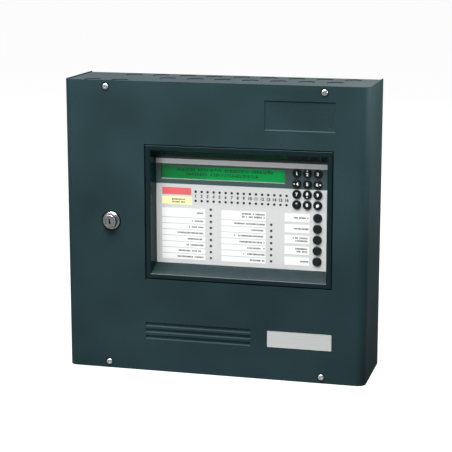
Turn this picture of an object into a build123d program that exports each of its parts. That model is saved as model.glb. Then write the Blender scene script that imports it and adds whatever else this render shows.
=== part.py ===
from build123d import *
import os

# Wall-mounted fire alarm control panel, in millimetres.
# +X is to the right and +Z is up as seen from the front, and the front faces -Y.
# The origin is the middle of the wall face, so a distance out from the wall is
# Plane.XZ.offset(distance), where the sketch's own x and y are the panel's X and Z.

os.makedirs("parts", exist_ok=True)

# Driving dimensions of the whole panel
WIDTH = 370.0
HEIGHT = 355.0
DEPTH = 100.0

# Sheet metal
COVER_SHEET = 1.5
BOX_SHEET = 1.2
BRACKET_SHEET = 1.2
COVER_BEND = 10.5
BOX_BEND = 2.0
COVER_GAP = 0.4
COVER_LIP = 1.2
WALL_GAP = 1.0
RETURN_FLANGE = 14.0
SIDE_FLANGE = 30.0

# Fasteners and small fits
HOLE_CLEARANCE = 0.2
LOOSE_GAP = 0.3
RUNNING_GAP = 0.05

# Display window and facia, measured from the window's own centre
WINDOW_X = 29.5
WINDOW_UP = 197.5
OPENING_WIDTH = 229.4
OPENING_HEIGHT = 165.0
SHADOW_GAP = 1.2
LIP_WIDTH = 215.0
LIP_HEIGHT = 151.0
FACIA_WIDTH = 209.0
FACIA_HEIGHT = 128.0
FACIA_RECESS = 16.0
BEZEL_WALL = 2.2
OVERLAY = 0.3
FACIA_PLATE = 2.0
BOARD_GAP = 4.2
BOARD = 1.6
BRIDGE_GAP = 8.0

# Keys and lamps
KEY_RADIUS = 5.35
KEY_FIT = 0.25
KEY_PROUD = 1.5
KEY_TRAVEL = 1.0
KEY_STOP = 0.65
LAMP_RADIUS = 1.5
LAMP_PITCH = 7.43

# Knockouts for 20 mm cable glands
KNOCKOUT_RADIUS = 10.2
KNOCKOUT_PITCH = 34.2
KNOCKOUT_DROP = 0.9
KNOCKOUT_WEB = 4.0

# Wall fixing
WALL_HOLE = 3.25
WALL_HOLE_IN = 19.0
WALL_HOLE_IN_Z = 30.0

# Lock
LOCK_IN = 57.5
LOCK_UP = 185.0
LOCK_PROUD = 7.0
BARREL_RADIUS = 5.6

# Batteries and boards
BATTERY_LENGTH = 151.0
BATTERY_DEPTH = 65.0
BATTERY_HEIGHT = 94.0
BATTERY_SPACE = 2.0
BOARD_STAND = 10.0
PSU_WIDTH = 76.0
PSU_HEIGHT = 130.0
PSU_DEPTH = 38.0

# Distances out from the wall, and the box's own size
FACIA_FACE = DEPTH - FACIA_RECESS
PLATE_FRONT = FACIA_FACE - OVERLAY
PLATE_BACK = PLATE_FRONT - FACIA_PLATE
DISPLAY_FRONT = PLATE_BACK - BOARD_GAP
DISPLAY_BACK = DISPLAY_FRONT - BOARD
BRIDGE_FRONT = DISPLAY_BACK - BRIDGE_GAP
BRIDGE_BACK = BRIDGE_FRONT - BRACKET_SHEET
COVER_BACK = DEPTH - COVER_SHEET
BOX_FRONT = COVER_BACK - COVER_GAP
BOX_WIDTH = WIDTH - 2 * (COVER_SHEET + COVER_GAP)
BOX_HEIGHT = HEIGHT - 2 * COVER_LIP
BOX_TOP = BOX_HEIGHT / 2
MAIN_BACK = BOX_SHEET + BOARD_STAND
MAIN_FRONT = MAIN_BACK + BOARD


def up(height):
    """The Z of a point that is this far above the panel's bottom edge."""
    return height - HEIGHT / 2


def wall(distance):
    """The upright sketch plane this far out from the wall."""
    return Plane.XZ.offset(distance)


WINDOW_Z = up(WINDOW_UP)
LOCK_X = LOCK_IN - WIDTH / 2
LOCK_Z = up(LOCK_UP)

# Cover screws, one near each corner
SCREW_SPACING_X = WIDTH - 105.0
SCREW_SPACING_Z = HEIGHT - 15.0
SCREW_RADIUS = 2.0
SCREW_HEAD = 3.8
DIMPLE_RADIUS = 5.2
DIMPLE_DEPTH = 0.8
NUT_LENGTH = 4.0

# ---------------------------------------------------------------- back box
# One folded steel sheet: back, top and bottom with return flanges, and shallow sides.
# Each knockout is half sheared: its disc is pushed down and one web stays flush.

KNOCKOUT_ROWS = (
    (9, -122.0, 80.5),
    (7, -69.5, 48.5),
    (2, -154.4, 17.5),
)

with BuildPart() as back_box:
    with BuildSketch(Plane.YZ.offset(-BOX_WIDTH / 2)):
        with BuildLine():
            top_line = BOX_TOP - BOX_SHEET / 2
            front_line = BOX_SHEET / 2 - BOX_FRONT
            FilletPolyline(
                (front_line, BOX_TOP - RETURN_FLANGE),
                (front_line, top_line),
                (-BOX_SHEET / 2, top_line),
                (-BOX_SHEET / 2, -top_line),
                (front_line, -top_line),
                (front_line, RETURN_FLANGE - BOX_TOP),
                radius=BOX_BEND - BOX_SHEET / 2,
            )
        trace(line_width=BOX_SHEET)
    extrude(amount=BOX_WIDTH)
    with BuildSketch(wall(0)):
        with Locations(
            (BOX_SHEET / 2 - BOX_WIDTH / 2, 0), (BOX_WIDTH / 2 - BOX_SHEET / 2, 0)
        ):
            Rectangle(BOX_SHEET, BOX_HEIGHT - 2 * BOX_BEND)
    extrude(amount=SIDE_FLANGE)
    for count, first_x, from_front in KNOCKOUT_ROWS:
        middle_x = first_x + (count - 1) * KNOCKOUT_PITCH / 2
        row_y = from_front - DEPTH
        with BuildSketch(Plane.XY.offset(BOX_TOP - BOX_SHEET - KNOCKOUT_DROP)):
            with Locations((middle_x, row_y)):
                with GridLocations(KNOCKOUT_PITCH, 1, count, 1):
                    Circle(KNOCKOUT_RADIUS)
        extrude(amount=KNOCKOUT_DROP)
        with BuildSketch(Plane.XY.offset(BOX_TOP)):
            with Locations((middle_x, row_y)):
                with GridLocations(KNOCKOUT_PITCH, 1, count, 1):
                    Circle(KNOCKOUT_RADIUS)
                with Locations((-KNOCKOUT_WEB, KNOCKOUT_RADIUS)):
                    with GridLocations(KNOCKOUT_PITCH, 1, count, 1):
                        Rectangle(KNOCKOUT_WEB, KNOCKOUT_WEB * 1.5, mode=Mode.SUBTRACT)
        extrude(amount=-KNOCKOUT_DROP, mode=Mode.SUBTRACT)
    with BuildSketch(wall(0)):
        with GridLocations(
            WIDTH - 2 * WALL_HOLE_IN, HEIGHT - 2 * WALL_HOLE_IN_Z, 2, 2
        ):
            Circle(WALL_HOLE)
    extrude(amount=BOX_SHEET, mode=Mode.SUBTRACT)
    with BuildSketch(wall(BOX_FRONT)):
        with GridLocations(SCREW_SPACING_X, SCREW_SPACING_Z, 2, 2):
            Circle(SCREW_RADIUS + 0.5)
    extrude(amount=-BOX_SHEET, mode=Mode.SUBTRACT)
    # the front corners are rounded to follow the inside of the cover's bends
    with BuildSketch(Plane.XY.offset(-BOX_TOP)):
        for side in (-1, 1):
            with Locations((side * (WIDTH - COVER_BEND) / 2, COVER_BEND / 2 - DEPTH)):
                Rectangle(COVER_BEND, COVER_BEND)
            with Locations((side * (WIDTH / 2 - COVER_BEND), COVER_BEND - DEPTH)):
                Circle(COVER_BEND - COVER_SHEET - COVER_GAP, mode=Mode.SUBTRACT)
    extrude(amount=BOX_HEIGHT, mode=Mode.SUBTRACT)
back_box.part.label = "back_box"
export_step(back_box.part, "parts/back_box.step")

# Self-clinching nuts behind the return flanges take the cover screws.
with BuildPart() as clinch_nuts:
    with BuildSketch(wall(BOX_FRONT - BOX_SHEET)):
        with GridLocations(SCREW_SPACING_X, SCREW_SPACING_Z, 2, 2):
            Circle(4.0)
            Circle(SCREW_RADIUS + HOLE_CLEARANCE, mode=Mode.SUBTRACT)
    extrude(amount=-NUT_LENGTH)
clinch_nuts.part.label = "clinch_nuts"
export_step(clinch_nuts.part, "parts/clinch_nuts.step")

# Two brass earth studs stand on the back sheet below the top, each with its nut.
EARTH_X = (-172.0, -158.0)
EARTH_Z = up(292.0)
with BuildPart() as earth_studs:
    with BuildSketch(wall(BOX_SHEET)):
        with Locations(*[(x, EARTH_Z) for x in EARTH_X]):
            Circle(2.5)
    extrude(amount=16.0)
    with BuildSketch(wall(BOX_SHEET)):
        with Locations(*[(x, EARTH_Z) for x in EARTH_X]):
            Circle(5.0)
    extrude(amount=1.0)
    with BuildSketch(wall(BOX_SHEET + 4.0)):
        with Locations(*[(x, EARTH_Z) for x in EARTH_X]):
            RegularPolygon(4.6, 6)
    extrude(amount=4.0)
earth_studs.part.label = "earth_studs"
export_step(earth_studs.part, "parts/earth_studs.step")

# The keeper is an angle on the left side flange; the lock's cam turns in behind its lip.
KEEPER_HEIGHT = 20.0
KEEPER_LIP = 20.0
CAM_FRONT = DEPTH - 22.0
KEEPER_REACH = CAM_FRONT + 2.0 + BRACKET_SHEET
KEEPER_X = BOX_SHEET - BOX_WIDTH / 2
with BuildPart() as lock_keeper:
    with BuildSketch(Plane.XY.offset(LOCK_Z - KEEPER_HEIGHT / 2)):
        with BuildLine():
            FilletPolyline(
                (KEEPER_X + BRACKET_SHEET / 2, -4.0),
                (KEEPER_X + BRACKET_SHEET / 2, BRACKET_SHEET / 2 - KEEPER_REACH),
                (KEEPER_X + KEEPER_LIP, BRACKET_SHEET / 2 - KEEPER_REACH),
                radius=2.0,
            )
        trace(line_width=BRACKET_SHEET)
    extrude(amount=KEEPER_HEIGHT)
lock_keeper.part.label = "lock_keeper"
export_step(lock_keeper.part, "parts/lock_keeper.step")

# ---------------------------------------------------------------- front cover
# A U of sheet that wraps the front and both sides, with the window, three pressed
# grooves, a blank label panel, a badge recess and a dimple round each screw.

GROOVE_LEFT = -85.0
GROOVE_LENGTH = 131.0
GROOVE_HEIGHT = 5.2
GROOVE_FLOOR = 2.4
GROOVE_DEPTH = 1.2
GROOVES_UP = (42.5, 50.7, 58.5)
LABEL_SIZE = (84.5, 35.0)
LABEL_X = 103.7
LABEL_DOWN = 36.0
BADGE_SIZE = (78.0, 20.0)
BADGE_AT = (105.5, 50.5)
BADGE_FIT = 0.4
PRESS_DEPTH = 0.9
PRESS_SLOPE = 50.0
PRESS_BACK = 0.6
PRESS_OVERLAP = 0.2
BADGE_THICKNESS = 0.7
STUD_RADIUS = 1.5
STUD_LENGTH = 6.0
FLANGE_WIDTH = OPENING_WIDTH + 20.0
FLANGE_HEIGHT = OPENING_HEIGHT + 20.0
FLANGE_THICKNESS = 2.0
STUD_INSET = 5.0
LOCK_BODY_RADIUS = 9.0


def opening_centre():
    return Locations((WINDOW_X, WINDOW_Z))


def stud_places():
    return GridLocations(
        (FLANGE_WIDTH - 2 * STUD_INSET) / 2, FLANGE_HEIGHT - 2 * STUD_INSET, 3, 2
    )


def groove_outline(top):
    """Flat-floored section of a pressed groove, as distance in from its face and Z."""
    return [
        (top, -GROOVE_HEIGHT / 2),
        (GROOVE_DEPTH, -GROOVE_FLOOR / 2),
        (GROOVE_DEPTH, GROOVE_FLOOR / 2),
        (top, GROOVE_HEIGHT / 2),
    ]


with BuildPart() as front_cover:
    with BuildSketch(Plane.XY.offset(-HEIGHT / 2)):
        with BuildLine():
            side_line = WIDTH / 2 - COVER_SHEET / 2
            FilletPolyline(
                (-side_line, -WALL_GAP),
                (-side_line, COVER_SHEET / 2 - DEPTH),
                (side_line, COVER_SHEET / 2 - DEPTH),
                (side_line, -WALL_GAP),
                radius=COVER_BEND - COVER_SHEET / 2,
            )
        trace(line_width=COVER_SHEET)
    extrude(amount=HEIGHT)
    # raised backs of the pressings
    with BuildSketch(wall(COVER_BACK)):
        with Locations((LABEL_X, HEIGHT / 2 - LABEL_DOWN)):
            Rectangle(LABEL_SIZE[0] + 2 * PRESS_BACK, LABEL_SIZE[1] + 2 * PRESS_BACK)
        with Locations((BADGE_AT[0], up(BADGE_AT[1]))):
            Rectangle(BADGE_SIZE[0] + 2 * PRESS_BACK, BADGE_SIZE[1] + 2 * PRESS_BACK)
    extrude(amount=-PRESS_BACK)
    with BuildSketch(Plane.YZ.offset(GROOVE_LEFT - 1)):
        for height in GROOVES_UP:
            with Locations((-COVER_BACK, up(height))):
                Polygon(*groove_outline(-PRESS_OVERLAP), align=None)
    extrude(amount=GROOVE_LENGTH + 2)
    # the pressings themselves
    with BuildSketch(Plane.YZ.offset(GROOVE_LEFT)):
        for height in GROOVES_UP:
            with Locations((-DEPTH, up(height))):
                Polygon(*groove_outline(0), align=None)
    extrude(amount=GROOVE_LENGTH, mode=Mode.SUBTRACT)
    with BuildSketch(wall(DEPTH)):
        with Locations((LABEL_X, HEIGHT / 2 - LABEL_DOWN)):
            Rectangle(*LABEL_SIZE)
    extrude(amount=-PRESS_DEPTH, taper=PRESS_SLOPE, mode=Mode.SUBTRACT)
    with BuildSketch(wall(DEPTH)):
        with Locations((BADGE_AT[0], up(BADGE_AT[1]))):
            Rectangle(BADGE_SIZE[0] + BADGE_FIT, BADGE_SIZE[1] + BADGE_FIT)
    extrude(amount=-PRESS_DEPTH, mode=Mode.SUBTRACT)
    with BuildSketch(wall(DEPTH)):
        with GridLocations(SCREW_SPACING_X, SCREW_SPACING_Z, 2, 2):
            Circle(DIMPLE_RADIUS)
    extrude(amount=-DIMPLE_DEPTH, mode=Mode.SUBTRACT)
    # through openings
    with BuildSketch(wall(DEPTH)):
        with GridLocations(SCREW_SPACING_X, SCREW_SPACING_Z, 2, 2):
            Circle(SCREW_RADIUS + HOLE_CLEARANCE)
        with opening_centre():
            Rectangle(OPENING_WIDTH, OPENING_HEIGHT)
        with Locations((LOCK_X, LOCK_Z)):
            Circle(LOCK_BODY_RADIUS + HOLE_CLEARANCE)
    extrude(amount=-2 * COVER_SHEET, mode=Mode.SUBTRACT)
    # welded studs that hold the bezel
    with BuildSketch(wall(COVER_BACK)):
        with opening_centre():
            with stud_places():
                Circle(STUD_RADIUS)
    extrude(amount=-STUD_LENGTH)
front_cover.part.label = "front_cover"
export_step(front_cover.part, "parts/front_cover.step")

# Button-head socket screws that stay in the cover.
SCREW_LENGTH = 9.0
HEAD_HEIGHT = 2.2
with BuildPart() as cover_screws:
    with BuildSketch(wall(DEPTH - DIMPLE_DEPTH)):
        with GridLocations(SCREW_SPACING_X, SCREW_SPACING_Z, 2, 2):
            Circle(SCREW_HEAD)
    extrude(amount=HEAD_HEIGHT)
    rims = cover_screws.edges().filter_by(GeomType.CIRCLE).group_by(Axis.Y)[0]
    fillet(rims, HEAD_HEIGHT - 0.4)
    with BuildSketch(wall(DEPTH - DIMPLE_DEPTH)):
        with GridLocations(SCREW_SPACING_X, SCREW_SPACING_Z, 2, 2):
            Circle(SCREW_RADIUS)
    extrude(amount=-SCREW_LENGTH)
    with BuildSketch(wall(DEPTH - DIMPLE_DEPTH + HEAD_HEIGHT)):
        with GridLocations(SCREW_SPACING_X, SCREW_SPACING_Z, 2, 2):
            RegularPolygon(1.45, 6)
    extrude(amount=-1.4, mode=Mode.SUBTRACT)
cover_screws.part.label = "cover_screws"
export_step(cover_screws.part, "parts/cover_screws.step")

# ---------------------------------------------------------------- window bezel
# Gloss moulding: a rim in the opening, a flange behind the sheet, and four drafted
# walls that lead in to the facia.

BEZEL_FRONT = DEPTH - 0.3
BEZEL_END = FACIA_FACE + LOOSE_GAP
with BuildPart() as window_bezel:
    with BuildSketch(wall(COVER_BACK - FLANGE_THICKNESS)):
        with opening_centre():
            Rectangle(FLANGE_WIDTH, FLANGE_HEIGHT)
            with stud_places():
                Circle(STUD_RADIUS + HOLE_CLEARANCE, mode=Mode.SUBTRACT)
    extrude(amount=FLANGE_THICKNESS)
    with BuildSketch(wall(COVER_BACK)):
        with opening_centre():
            Rectangle(OPENING_WIDTH - 2 * SHADOW_GAP, OPENING_HEIGHT - 2 * SHADOW_GAP)
    extrude(amount=BEZEL_FRONT - COVER_BACK)
    rim_edges = window_bezel.faces().sort_by(Axis.Y)[0].outer_wire().edges()
    fillet(rim_edges, 0.9)
    with BuildSketch(wall(COVER_BACK - FLANGE_THICKNESS)):
        with opening_centre():
            Rectangle(LIP_WIDTH + 2 * BEZEL_WALL, LIP_HEIGHT + 2 * BEZEL_WALL)
    with BuildSketch(wall(BEZEL_END)):
        with opening_centre():
            Rectangle(FACIA_WIDTH + 2 * BEZEL_WALL, FACIA_HEIGHT + 2 * BEZEL_WALL)
    loft()
    with BuildSketch(wall(BEZEL_FRONT)):
        with opening_centre():
            Rectangle(LIP_WIDTH, LIP_HEIGHT)
    with BuildSketch(wall(BEZEL_END)):
        with opening_centre():
            Rectangle(FACIA_WIDTH, FACIA_HEIGHT)
    loft(mode=Mode.SUBTRACT)
    with BuildSketch(wall(BEZEL_FRONT)):
        with opening_centre():
            Rectangle(LIP_WIDTH + 1.0, LIP_HEIGHT + 1.0)
    extrude(amount=-0.6, taper=45, mode=Mode.SUBTRACT)
window_bezel.part.label = "window_bezel"
export_step(window_bezel.part, "parts/window_bezel.step")

# Push-on nuts on the cover's studs press the bezel's flange to the sheet.
with BuildPart() as bezel_nuts:
    with BuildSketch(wall(COVER_BACK - FLANGE_THICKNESS)):
        with opening_centre():
            with stud_places():
                Circle(4.0)
                Circle(STUD_RADIUS + 0.05, mode=Mode.SUBTRACT)
    extrude(amount=-1.0)
bezel_nuts.part.label = "bezel_nuts"
export_step(bezel_nuts.part, "parts/bezel_nuts.step")

# Plain brushed badge plate, glued in its recess.
with BuildPart() as badge_plate:
    with BuildSketch(wall(DEPTH - PRESS_DEPTH)):
        with Locations((BADGE_AT[0], up(BADGE_AT[1]))):
            Rectangle(*BADGE_SIZE)
    extrude(amount=BADGE_THICKNESS)
    fillet(badge_plate.edges().filter_by(Axis.Y), 0.6)
badge_plate.part.label = "badge_plate"
export_step(badge_plate.part, "parts/badge_plate.step")

# ---------------------------------------------------------------- lock
# A cam lock through the cover. It rests unlocked with its cam hanging down, and a
# quarter turn swings the cam in behind the keeper.

LOCK_AXIS = Plane(origin=(LOCK_X, 0, LOCK_Z), x_dir=(1, 0, 0), z_dir=(0, -1, 0))
LOCK_FLANGE = 10.8
BARREL_BORE = BARREL_RADIUS + RUNNING_GAP
BODY_END = DEPTH - 19.0
LOCK_NUT = 4.0
KEYWAY_WIDTH = 1.8
KEYWAY_HEIGHT = 6.6
CAM_LENGTH = 40.0
CAM_WIDTH = 13.0
CAM_THICKNESS = 2.0
KEY_SLOT_TILT = 10.0

with BuildPart() as lock_body:
    with BuildSketch(LOCK_AXIS.offset(BODY_END)):
        Circle(LOCK_BODY_RADIUS)
    extrude(amount=DEPTH - BODY_END)
    with BuildSketch(LOCK_AXIS.offset(DEPTH)):
        Circle(LOCK_FLANGE)
    extrude(amount=1.6)
    flange_rim = lock_body.edges().filter_by(GeomType.CIRCLE).sort_by(Axis.Y)[0]
    chamfer(flange_rim, 0.8)
    with BuildSketch(LOCK_AXIS.offset(DEPTH + 1.6)):
        Circle(LOCK_BODY_RADIUS)
    extrude(amount=LOCK_PROUD - 1.6, taper=14)
    nose_rim = lock_body.edges().filter_by(GeomType.CIRCLE).sort_by(Axis.Y)[0]
    fillet(nose_rim, 0.6)
    with BuildSketch(LOCK_AXIS.offset(BODY_END)):
        Circle(BARREL_BORE)
    extrude(amount=DEPTH + LOCK_PROUD - BODY_END, mode=Mode.SUBTRACT)
lock_body.part.label = "lock_body"
export_step(lock_body.part, "parts/lock_body.step")

with BuildPart() as lock_nut:
    with BuildSketch(LOCK_AXIS.offset(COVER_BACK)):
        RegularPolygon(13.5, 6)
        Circle(LOCK_BODY_RADIUS + 0.05, mode=Mode.SUBTRACT)
    extrude(amount=-LOCK_NUT)
lock_nut.part.label = "lock_nut"
export_step(lock_nut.part, "parts/lock_nut.step")

with BuildPart() as lock_barrel:
    with BuildSketch(LOCK_AXIS.offset(CAM_FRONT)):
        Circle(BARREL_RADIUS)
    extrude(amount=DEPTH + LOCK_PROUD - 0.3 - CAM_FRONT)
    chamfer(lock_barrel.edges().sort_by(Axis.Y)[0], 0.3)
    with BuildSketch(LOCK_AXIS.offset(CAM_FRONT - CAM_THICKNESS)):
        Rectangle(6.0, 6.0)
    extrude(amount=CAM_THICKNESS)
    with BuildSketch(LOCK_AXIS.offset(DEPTH + LOCK_PROUD)):
        Rectangle(KEYWAY_WIDTH, KEYWAY_HEIGHT, rotation=KEY_SLOT_TILT)
    extrude(amount=-20.0, mode=Mode.SUBTRACT)
lock_barrel.part.label = "lock_barrel"
export_step(lock_barrel.part, "parts/lock_barrel.step")

with BuildPart() as lock_cam:
    with BuildSketch(LOCK_AXIS.offset(CAM_FRONT)):
        with Locations((0, (CAM_WIDTH / 2 - CAM_LENGTH) / 2)):
            Rectangle(CAM_WIDTH, CAM_LENGTH - CAM_WIDTH / 2)
        Circle(CAM_WIDTH / 2)
        with Locations((0, CAM_WIDTH / 2 - CAM_LENGTH)):
            Circle(CAM_WIDTH / 2)
        Rectangle(6.1, 6.1, mode=Mode.SUBTRACT)
    extrude(amount=-CAM_THICKNESS)
lock_cam.part.label = "lock_cam"
export_step(lock_cam.part, "parts/lock_cam.step")

with BuildPart() as cam_screw:
    with BuildSketch(LOCK_AXIS.offset(CAM_FRONT - CAM_THICKNESS)):
        RegularPolygon(5.0, 6)
    extrude(amount=-3.0)
cam_screw.part.label = "cam_screw"
export_step(cam_screw.part, "parts/cam_screw.step")

# ---------------------------------------------------------------- display carrier
# A folded bridge stands on the back sheet and carries the facia plate on four posts.

BRIDGE_WIDTH = 237.0
BRIDGE_HEIGHT = 157.0
BRIDGE_LEG = 120.0
BRIDGE_FOOT = 12.0
POST_RADIUS = 4.0
POST_SPACING = (219.0, 139.0)
PLATE_SIZE = (231.0, 151.0)
FOOT_SCREW_Z = 45.0
BRIDGE_WINDOW = 60.0
BRIDGE_WINDOWS = ((-20.0, -22.0), (60.0, 20.0))


def foot_places():
    return GridLocations(BRIDGE_WIDTH + BRIDGE_FOOT, 2 * FOOT_SCREW_Z, 2, 2)


with BuildPart() as display_bridge:
    with BuildSketch(wall(BRIDGE_BACK)):
        with opening_centre():
            Rectangle(BRIDGE_WIDTH, BRIDGE_HEIGHT)
    extrude(amount=BRACKET_SHEET)
    with BuildSketch(wall(BOX_SHEET)):
        with opening_centre():
            with GridLocations(BRIDGE_WIDTH - BRACKET_SHEET, 1, 2, 1):
                Rectangle(BRACKET_SHEET, BRIDGE_LEG)
    extrude(amount=BRIDGE_BACK - BOX_SHEET)
    with BuildSketch(wall(BOX_SHEET)):
        with opening_centre():
            with GridLocations(BRIDGE_WIDTH + BRIDGE_FOOT, 1, 2, 1):
                Rectangle(BRIDGE_FOOT, BRIDGE_LEG)
    extrude(amount=BRACKET_SHEET)
    with BuildSketch(wall(BRIDGE_FRONT)):
        with opening_centre():
            with Locations(*BRIDGE_WINDOWS):
                Rectangle(BRIDGE_WINDOW, BRIDGE_WINDOW)
            with GridLocations(*POST_SPACING, 2, 2):
                Circle(1.5 + HOLE_CLEARANCE)
    extrude(amount=-BRACKET_SHEET, mode=Mode.SUBTRACT)
    with BuildSketch(wall(0)):
        with opening_centre():
            with foot_places():
                Circle(2.0 + HOLE_CLEARANCE)
    extrude(amount=BOX_SHEET + BRACKET_SHEET, mode=Mode.SUBTRACT)
display_bridge.part.label = "display_bridge"
export_step(display_bridge.part, "parts/display_bridge.step")

# ---------------------------------------------------------------- facia
# Places on the facia, as X and height above the panel's bottom edge.

KEYPAD_X = (97.8, 110.4, 123.0)
KEYPAD_UP = (249.8, 237.2, 224.8, 212.4)
SIDE_KEY_X = 123.0
SIDE_KEYS_UP = (197.3, 184.1, 171.0, 157.8, 144.7)
ZONE_COLUMNS = 16
ZONE_FIRST_X = -25.9
ZONE_ROWS_UP = (222.3, 211.1)
LEFT_LAMP_X = -7.2
LEFT_LAMPS = 9
LEFT_TOP_UP = 201.2
MIDDLE_LAMP_X = 67.2
MIDDLE_LAMPS = 7
MIDDLE_TOP_UP = 186.6
LCD_X = 7.2
LCD_UP = 245.0
LCD_SIZE = (152.5, 15.4)
LCD_FIT = 0.15

key_names = []
key_places = []
for row, height in enumerate(KEYPAD_UP):
    for column, x in enumerate(KEYPAD_X):
        key_names.append(f"keypad_key_{3 * row + column + 1:02d}")
        key_places.append((x, up(height)))
for number, height in enumerate(SIDE_KEYS_UP):
    key_names.append(f"function_key_{number + 1}")
    key_places.append((SIDE_KEY_X, up(height)))

zone_places = [
    (ZONE_FIRST_X + LAMP_PITCH * column, up(height))
    for height in ZONE_ROWS_UP
    for column in range(ZONE_COLUMNS)
]
status_places = [
    (LEFT_LAMP_X, up(LEFT_TOP_UP - LAMP_PITCH * i)) for i in range(LEFT_LAMPS)
] + [(MIDDLE_LAMP_X, up(MIDDLE_TOP_UP - LAMP_PITCH * i)) for i in range(MIDDLE_LAMPS)]
lamp_places = zone_places + status_places


def facia_cut_outs(lamp_hole):
    """Cuts the key holes, lamp holes and display window in the open sketch."""
    with Locations(*key_places):
        Circle(KEY_RADIUS + KEY_FIT, mode=Mode.SUBTRACT)
    with Locations(*lamp_places):
        Circle(lamp_hole, mode=Mode.SUBTRACT)
    with Locations((LCD_X, up(LCD_UP))):
        Rectangle(LCD_SIZE[0], LCD_SIZE[1], mode=Mode.SUBTRACT)


# Moulded facia plate with four posts that stand on the bridge.
with BuildPart() as facia_plate:
    with BuildSketch(wall(PLATE_BACK)):
        with opening_centre():
            Rectangle(*PLATE_SIZE)
        facia_cut_outs(LAMP_RADIUS + 0.1)
    extrude(amount=FACIA_PLATE)
    with BuildSketch(wall(PLATE_BACK)):
        with opening_centre():
            with GridLocations(*POST_SPACING, 2, 2):
                Circle(POST_RADIUS)
    extrude(amount=BRIDGE_FRONT - PLATE_BACK)
    with BuildSketch(wall(BRIDGE_FRONT)):
        with opening_centre():
            with GridLocations(*POST_SPACING, 2, 2):
                Circle(1.5)
    extrude(amount=12.0, mode=Mode.SUBTRACT)
facia_plate.part.label = "facia_plate"
export_step(facia_plate.part, "parts/facia_plate.step")

# Printed film over the plate.
with BuildPart() as facia_overlay:
    with BuildSketch(wall(PLATE_FRONT)):
        with opening_centre():
            Rectangle(FACIA_WIDTH + 2, FACIA_HEIGHT + 2)
        facia_cut_outs(LAMP_RADIUS + 0.1)
    extrude(amount=OVERLAY)
facia_overlay.part.label = "facia_overlay"
export_step(facia_overlay.part, "parts/facia_overlay.step")

# Clear lens in the display window, then glass, metal frame and the display's own board.
LCD_GLASS = (158.0, 22.0)
LCD_FRAME = (166.0, 28.0)
LCD_BOARD = (164.0, 30.0)
LENS_THICKNESS = FACIA_PLATE + OVERLAY - 0.4
with BuildPart() as lcd_lens:
    with BuildSketch(wall(PLATE_BACK)):
        with Locations((LCD_X, up(LCD_UP))):
            Rectangle(LCD_SIZE[0] - 2 * LCD_FIT, LCD_SIZE[1] - 2 * LCD_FIT)
    extrude(amount=LENS_THICKNESS)
lcd_lens.part.label = "lcd_lens"
export_step(lcd_lens.part, "parts/lcd_lens.step")

with BuildPart() as lcd_glass:
    with BuildSketch(wall(DISPLAY_FRONT)):
        with Locations((LCD_X, up(LCD_UP))):
            Rectangle(*LCD_GLASS)
    extrude(amount=BOARD_GAP - 1.0)
lcd_glass.part.label = "lcd_glass"
export_step(lcd_glass.part, "parts/lcd_glass.step")

with BuildPart() as lcd_frame:
    with BuildSketch(wall(DISPLAY_FRONT)):
        with Locations((LCD_X, up(LCD_UP))):
            Rectangle(*LCD_FRAME)
            Rectangle(*LCD_GLASS, mode=Mode.SUBTRACT)
    extrude(amount=BOARD_GAP - 1.0)
    with BuildSketch(wall(PLATE_BACK - 1.0)):
        with Locations((LCD_X, up(LCD_UP))):
            Rectangle(*LCD_FRAME)
            Rectangle(*LCD_SIZE, mode=Mode.SUBTRACT)
    extrude(amount=0.7)
lcd_frame.part.label = "lcd_frame"
export_step(lcd_frame.part, "parts/lcd_frame.step")

with BuildPart() as lcd_board:
    with BuildSketch(wall(DISPLAY_FRONT)):
        with Locations((LCD_X, up(LCD_UP))):
            Rectangle(*LCD_BOARD)
    extrude(amount=-BOARD)
lcd_board.part.label = "lcd_board"
export_step(lcd_board.part, "parts/lcd_board.step")

# The display board is an L round the display's own board.
DISPLAY_SIZE = (206.0, 125.0)
with BuildPart() as display_board:
    with BuildSketch(wall(DISPLAY_FRONT)):
        with opening_centre():
            Rectangle(*DISPLAY_SIZE)
        with Locations((LCD_X, up(LCD_UP) + 10)):
            Rectangle(LCD_BOARD[0] + 1, LCD_BOARD[1] + 21, mode=Mode.SUBTRACT)
    extrude(amount=-BOARD)
display_board.part.label = "display_board"
export_step(display_board.part, "parts/display_board.step")


def lamps(places):
    """Round lamps that stand on the display board and end just proud of the film."""
    with BuildPart() as group:
        with BuildSketch(wall(DISPLAY_FRONT)):
            with Locations(*places):
                Circle(LAMP_RADIUS)
        extrude(amount=FACIA_FACE + 0.3 - DISPLAY_FRONT)
        fillet(group.edges().filter_by(GeomType.CIRCLE).group_by(Axis.Y)[0], 0.5)
        with BuildSketch(wall(DISPLAY_FRONT)):
            with Locations(*places):
                Circle(LAMP_RADIUS + 0.4)
        extrude(amount=1.0)
    return group


zone_lamps = lamps(zone_places)
zone_lamps.part.label = "zone_lamps"
export_step(zone_lamps.part, "parts/zone_lamps.step")

status_lamps = lamps(status_places)
status_lamps.part.label = "status_lamps"
export_step(status_lamps.part, "parts/status_lamps.step")

# One low switch under each key, whose plunger stops the key at the end of its travel.
COLLAR_THICKNESS = 0.9
PLUNGER_TOP = BOARD_GAP - 2 * LOOSE_GAP - COLLAR_THICKNESS - KEY_TRAVEL
with BuildPart() as key_switches:
    with BuildSketch(wall(DISPLAY_FRONT)):
        with Locations(*key_places):
            Rectangle(6.0, 6.0)
    extrude(amount=PLUNGER_TOP - 0.3)
    with BuildSketch(wall(DISPLAY_FRONT)):
        with Locations(*key_places):
            Circle(1.7)
    extrude(amount=PLUNGER_TOP)
key_switches.part.label = "key_switches"
export_step(key_switches.part, "parts/key_switches.step")

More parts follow.
